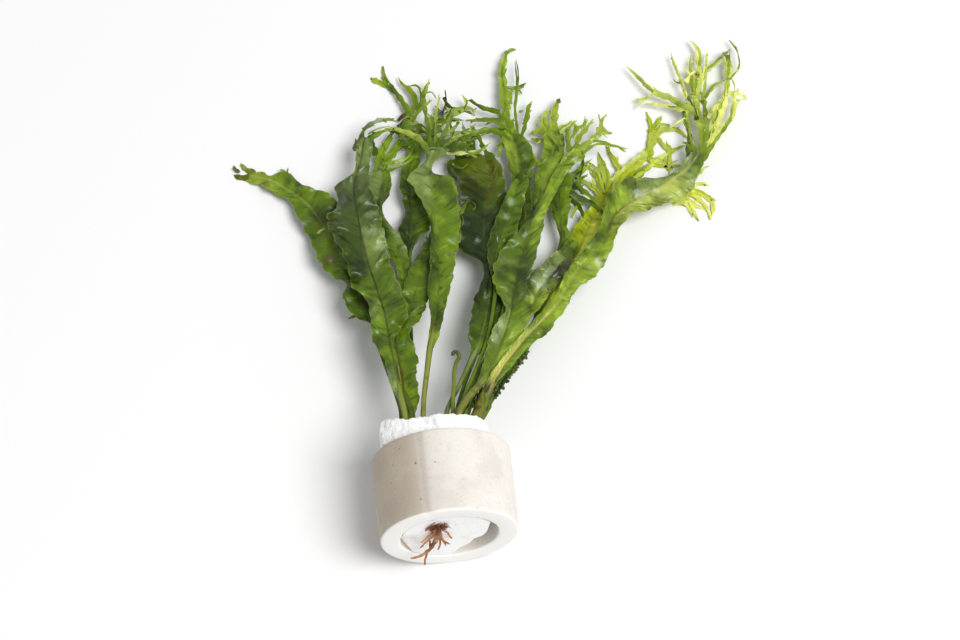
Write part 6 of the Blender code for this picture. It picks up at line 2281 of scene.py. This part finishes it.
@dataclass
class Scales:
    """The brown scales that cling to the bases of the right-hand stems.

    They are part of the broad right frond, whose stem lies in front there.
    """

    sight: Sight
    own: Solid

    # The photo points of each scale's foot and tip, and its half width
    TUFTS = (
        (482, 400, 478, 388, 0.6), (486, 408, 484, 392, 0.7), (480, 410, 481, 396, 0.6),
        (474, 404, 479, 392, 0.5), (488, 404, 486, 384, 0.6), (484, 398, 489, 384, 0.5),
        (470, 410, 476, 400, 0.6), (490, 400, 487, 380, 0.5), (478, 398, 484, 382, 0.5),
        (492, 396, 493, 382, 0.5), (466, 408, 470, 398, 0.5), (487, 412, 490, 398, 0.6),
    )
    EACH = 2
    STEPS = 9
    SIDES = 6
    FLATNESS = 0.35
    RISE = 0.4

    def build(self) -> list[Piece]:
        """Models the scales."""
        made = []
        random = np.random.default_rng(3)
        for *spots, width in (tuft for tuft in self.TUFTS for _ in range(self.EACH)):
            ends = np.array(spots, float).reshape(2, 2) + random.normal(0, 1.2, (2, 2))
            middle = ends.mean(axis=0) + random.normal(0, 1.2, 2)
            route = even_line(np.array([ends[0], middle, ends[1]]), self.STEPS)
            depths = soften(self.own.depths_at(route), 4) - np.linspace(0.0, self.RISE, self.STEPS)
            radii = np.interp(np.linspace(0, 1, self.STEPS), (0, 0.4, 1), (0.4, 1, 0.1)) * width
            across = np.zeros((1, self.SIDES + 1))
            along = np.ones((self.STEPS, 1))
            facts = {
                "leaf": together(across, along * 1.5, random.uniform(0.95, 1.25)),
                "span": together(across, along, 2.0),
            }
            line = self.sight.metres(self.sight.at(route, depths))
            made.append(
                Bench.tube("scale", line, radii, radii * self.FLATNESS, self.sight.right, facts, self.SIDES)
            )
        return made


@dataclass
class Studio:
    """The white surface, the soft light from the right, and the camera where the photo was taken."""

    sight: Sight

    FLOOR = 4.0
    FLOOR_WHITE = paint(247, 247, 247)
    FILL = 0.42
    KEY_POWER = 49.0
    KEY_SIZE = 1.4
    KEY_AWAY = 2.4
    KEY_TURN = math.radians(126)
    KEY_RISE = math.radians(60)
    NEAREST = 0.01

    def build(self) -> None:
        """Lays the surface, hangs the light and places the camera."""
        self.lay_floor()
        self.hang_light()
        self.place_camera()

    def lay_floor(self) -> None:
        """A plain surface that the plant lies on."""
        bpy.ops.object.select_all(action="DESELECT")
        bpy.ops.mesh.primitive_plane_add(size=self.FLOOR)
        floor = bpy.context.active_object
        floor.name = "white_surface"
        graph = Graph("white_surface")
        white = graph.close(Base_Color=self.FLOOR_WHITE, Roughness=0.9, Specular_IOR_Level=0.1)
        floor.data.materials.append(white)

    def hang_light(self) -> None:
        """A large soft light from the upper right, and an even white fill."""
        lamp = bpy.data.lights.new("key", "AREA")
        lamp.shape = "DISK"
        lamp.size = self.KEY_SIZE
        lamp.energy = self.KEY_POWER
        key = bpy.data.objects.new("key", lamp)
        bpy.context.scene.collection.objects.link(key)
        flat = math.cos(self.KEY_RISE)
        x, y = math.sin(self.KEY_TURN) * flat, math.cos(self.KEY_TURN) * flat
        way = Vector((x, y, math.sin(self.KEY_RISE)))
        key.location = way * self.KEY_AWAY
        key.rotation_euler = way.to_track_quat("Z", "Y").to_euler()
        world = bpy.data.worlds.new("fill")
        world.use_nodes = True
        background = world.node_tree.nodes["Background"]
        background.inputs["Color"].default_value = (1.0, 1.0, 1.0, 1.0)
        background.inputs["Strength"].default_value = self.FILL
        bpy.context.scene.world = world
        bpy.context.scene.view_settings.view_transform = "Standard"

    def place_camera(self) -> None:
        """The camera of the photograph."""
        camera = bpy.data.cameras.new("photo_view")
        camera.sensor_width = self.sight.SENSOR
        camera.lens = self.sight.SENSOR * self.sight.FOCAL / self.sight.WIDTH
        camera.clip_start = self.NEAREST
        stand = bpy.data.objects.new("photo_view", camera)
        bpy.context.scene.collection.objects.link(stand)
        stand.location = Vector(self.sight.metres(self.sight.EYE))
        stand.rotation_euler = (math.pi / 2 - self.sight.ELEVATION, 0, self.sight.AZIMUTH)
        bpy.context.scene.camera = stand


def main() -> None:
    """Builds the plant, its ring and the studio."""
    logging.basicConfig(level=logging.INFO, format="%(name)s %(message)s")
    nodes = frame["nodes"]
    box = tuple(np.array(corner) for corner in CAD_BOX)
    sight = Sight()
    CeramicRing(sight, nodes["ceramic_ring"]).build()
    FoamWrap(sight, nodes["foam_wrap"]).build()
    Rhizome(sight).build()
    Crozier(sight, Solid(sight, [nodes["crozier"]])).build()
    Fern(sight, nodes, box).build()
    Studio(sight).build()


if __name__ == "__main__":
    main()
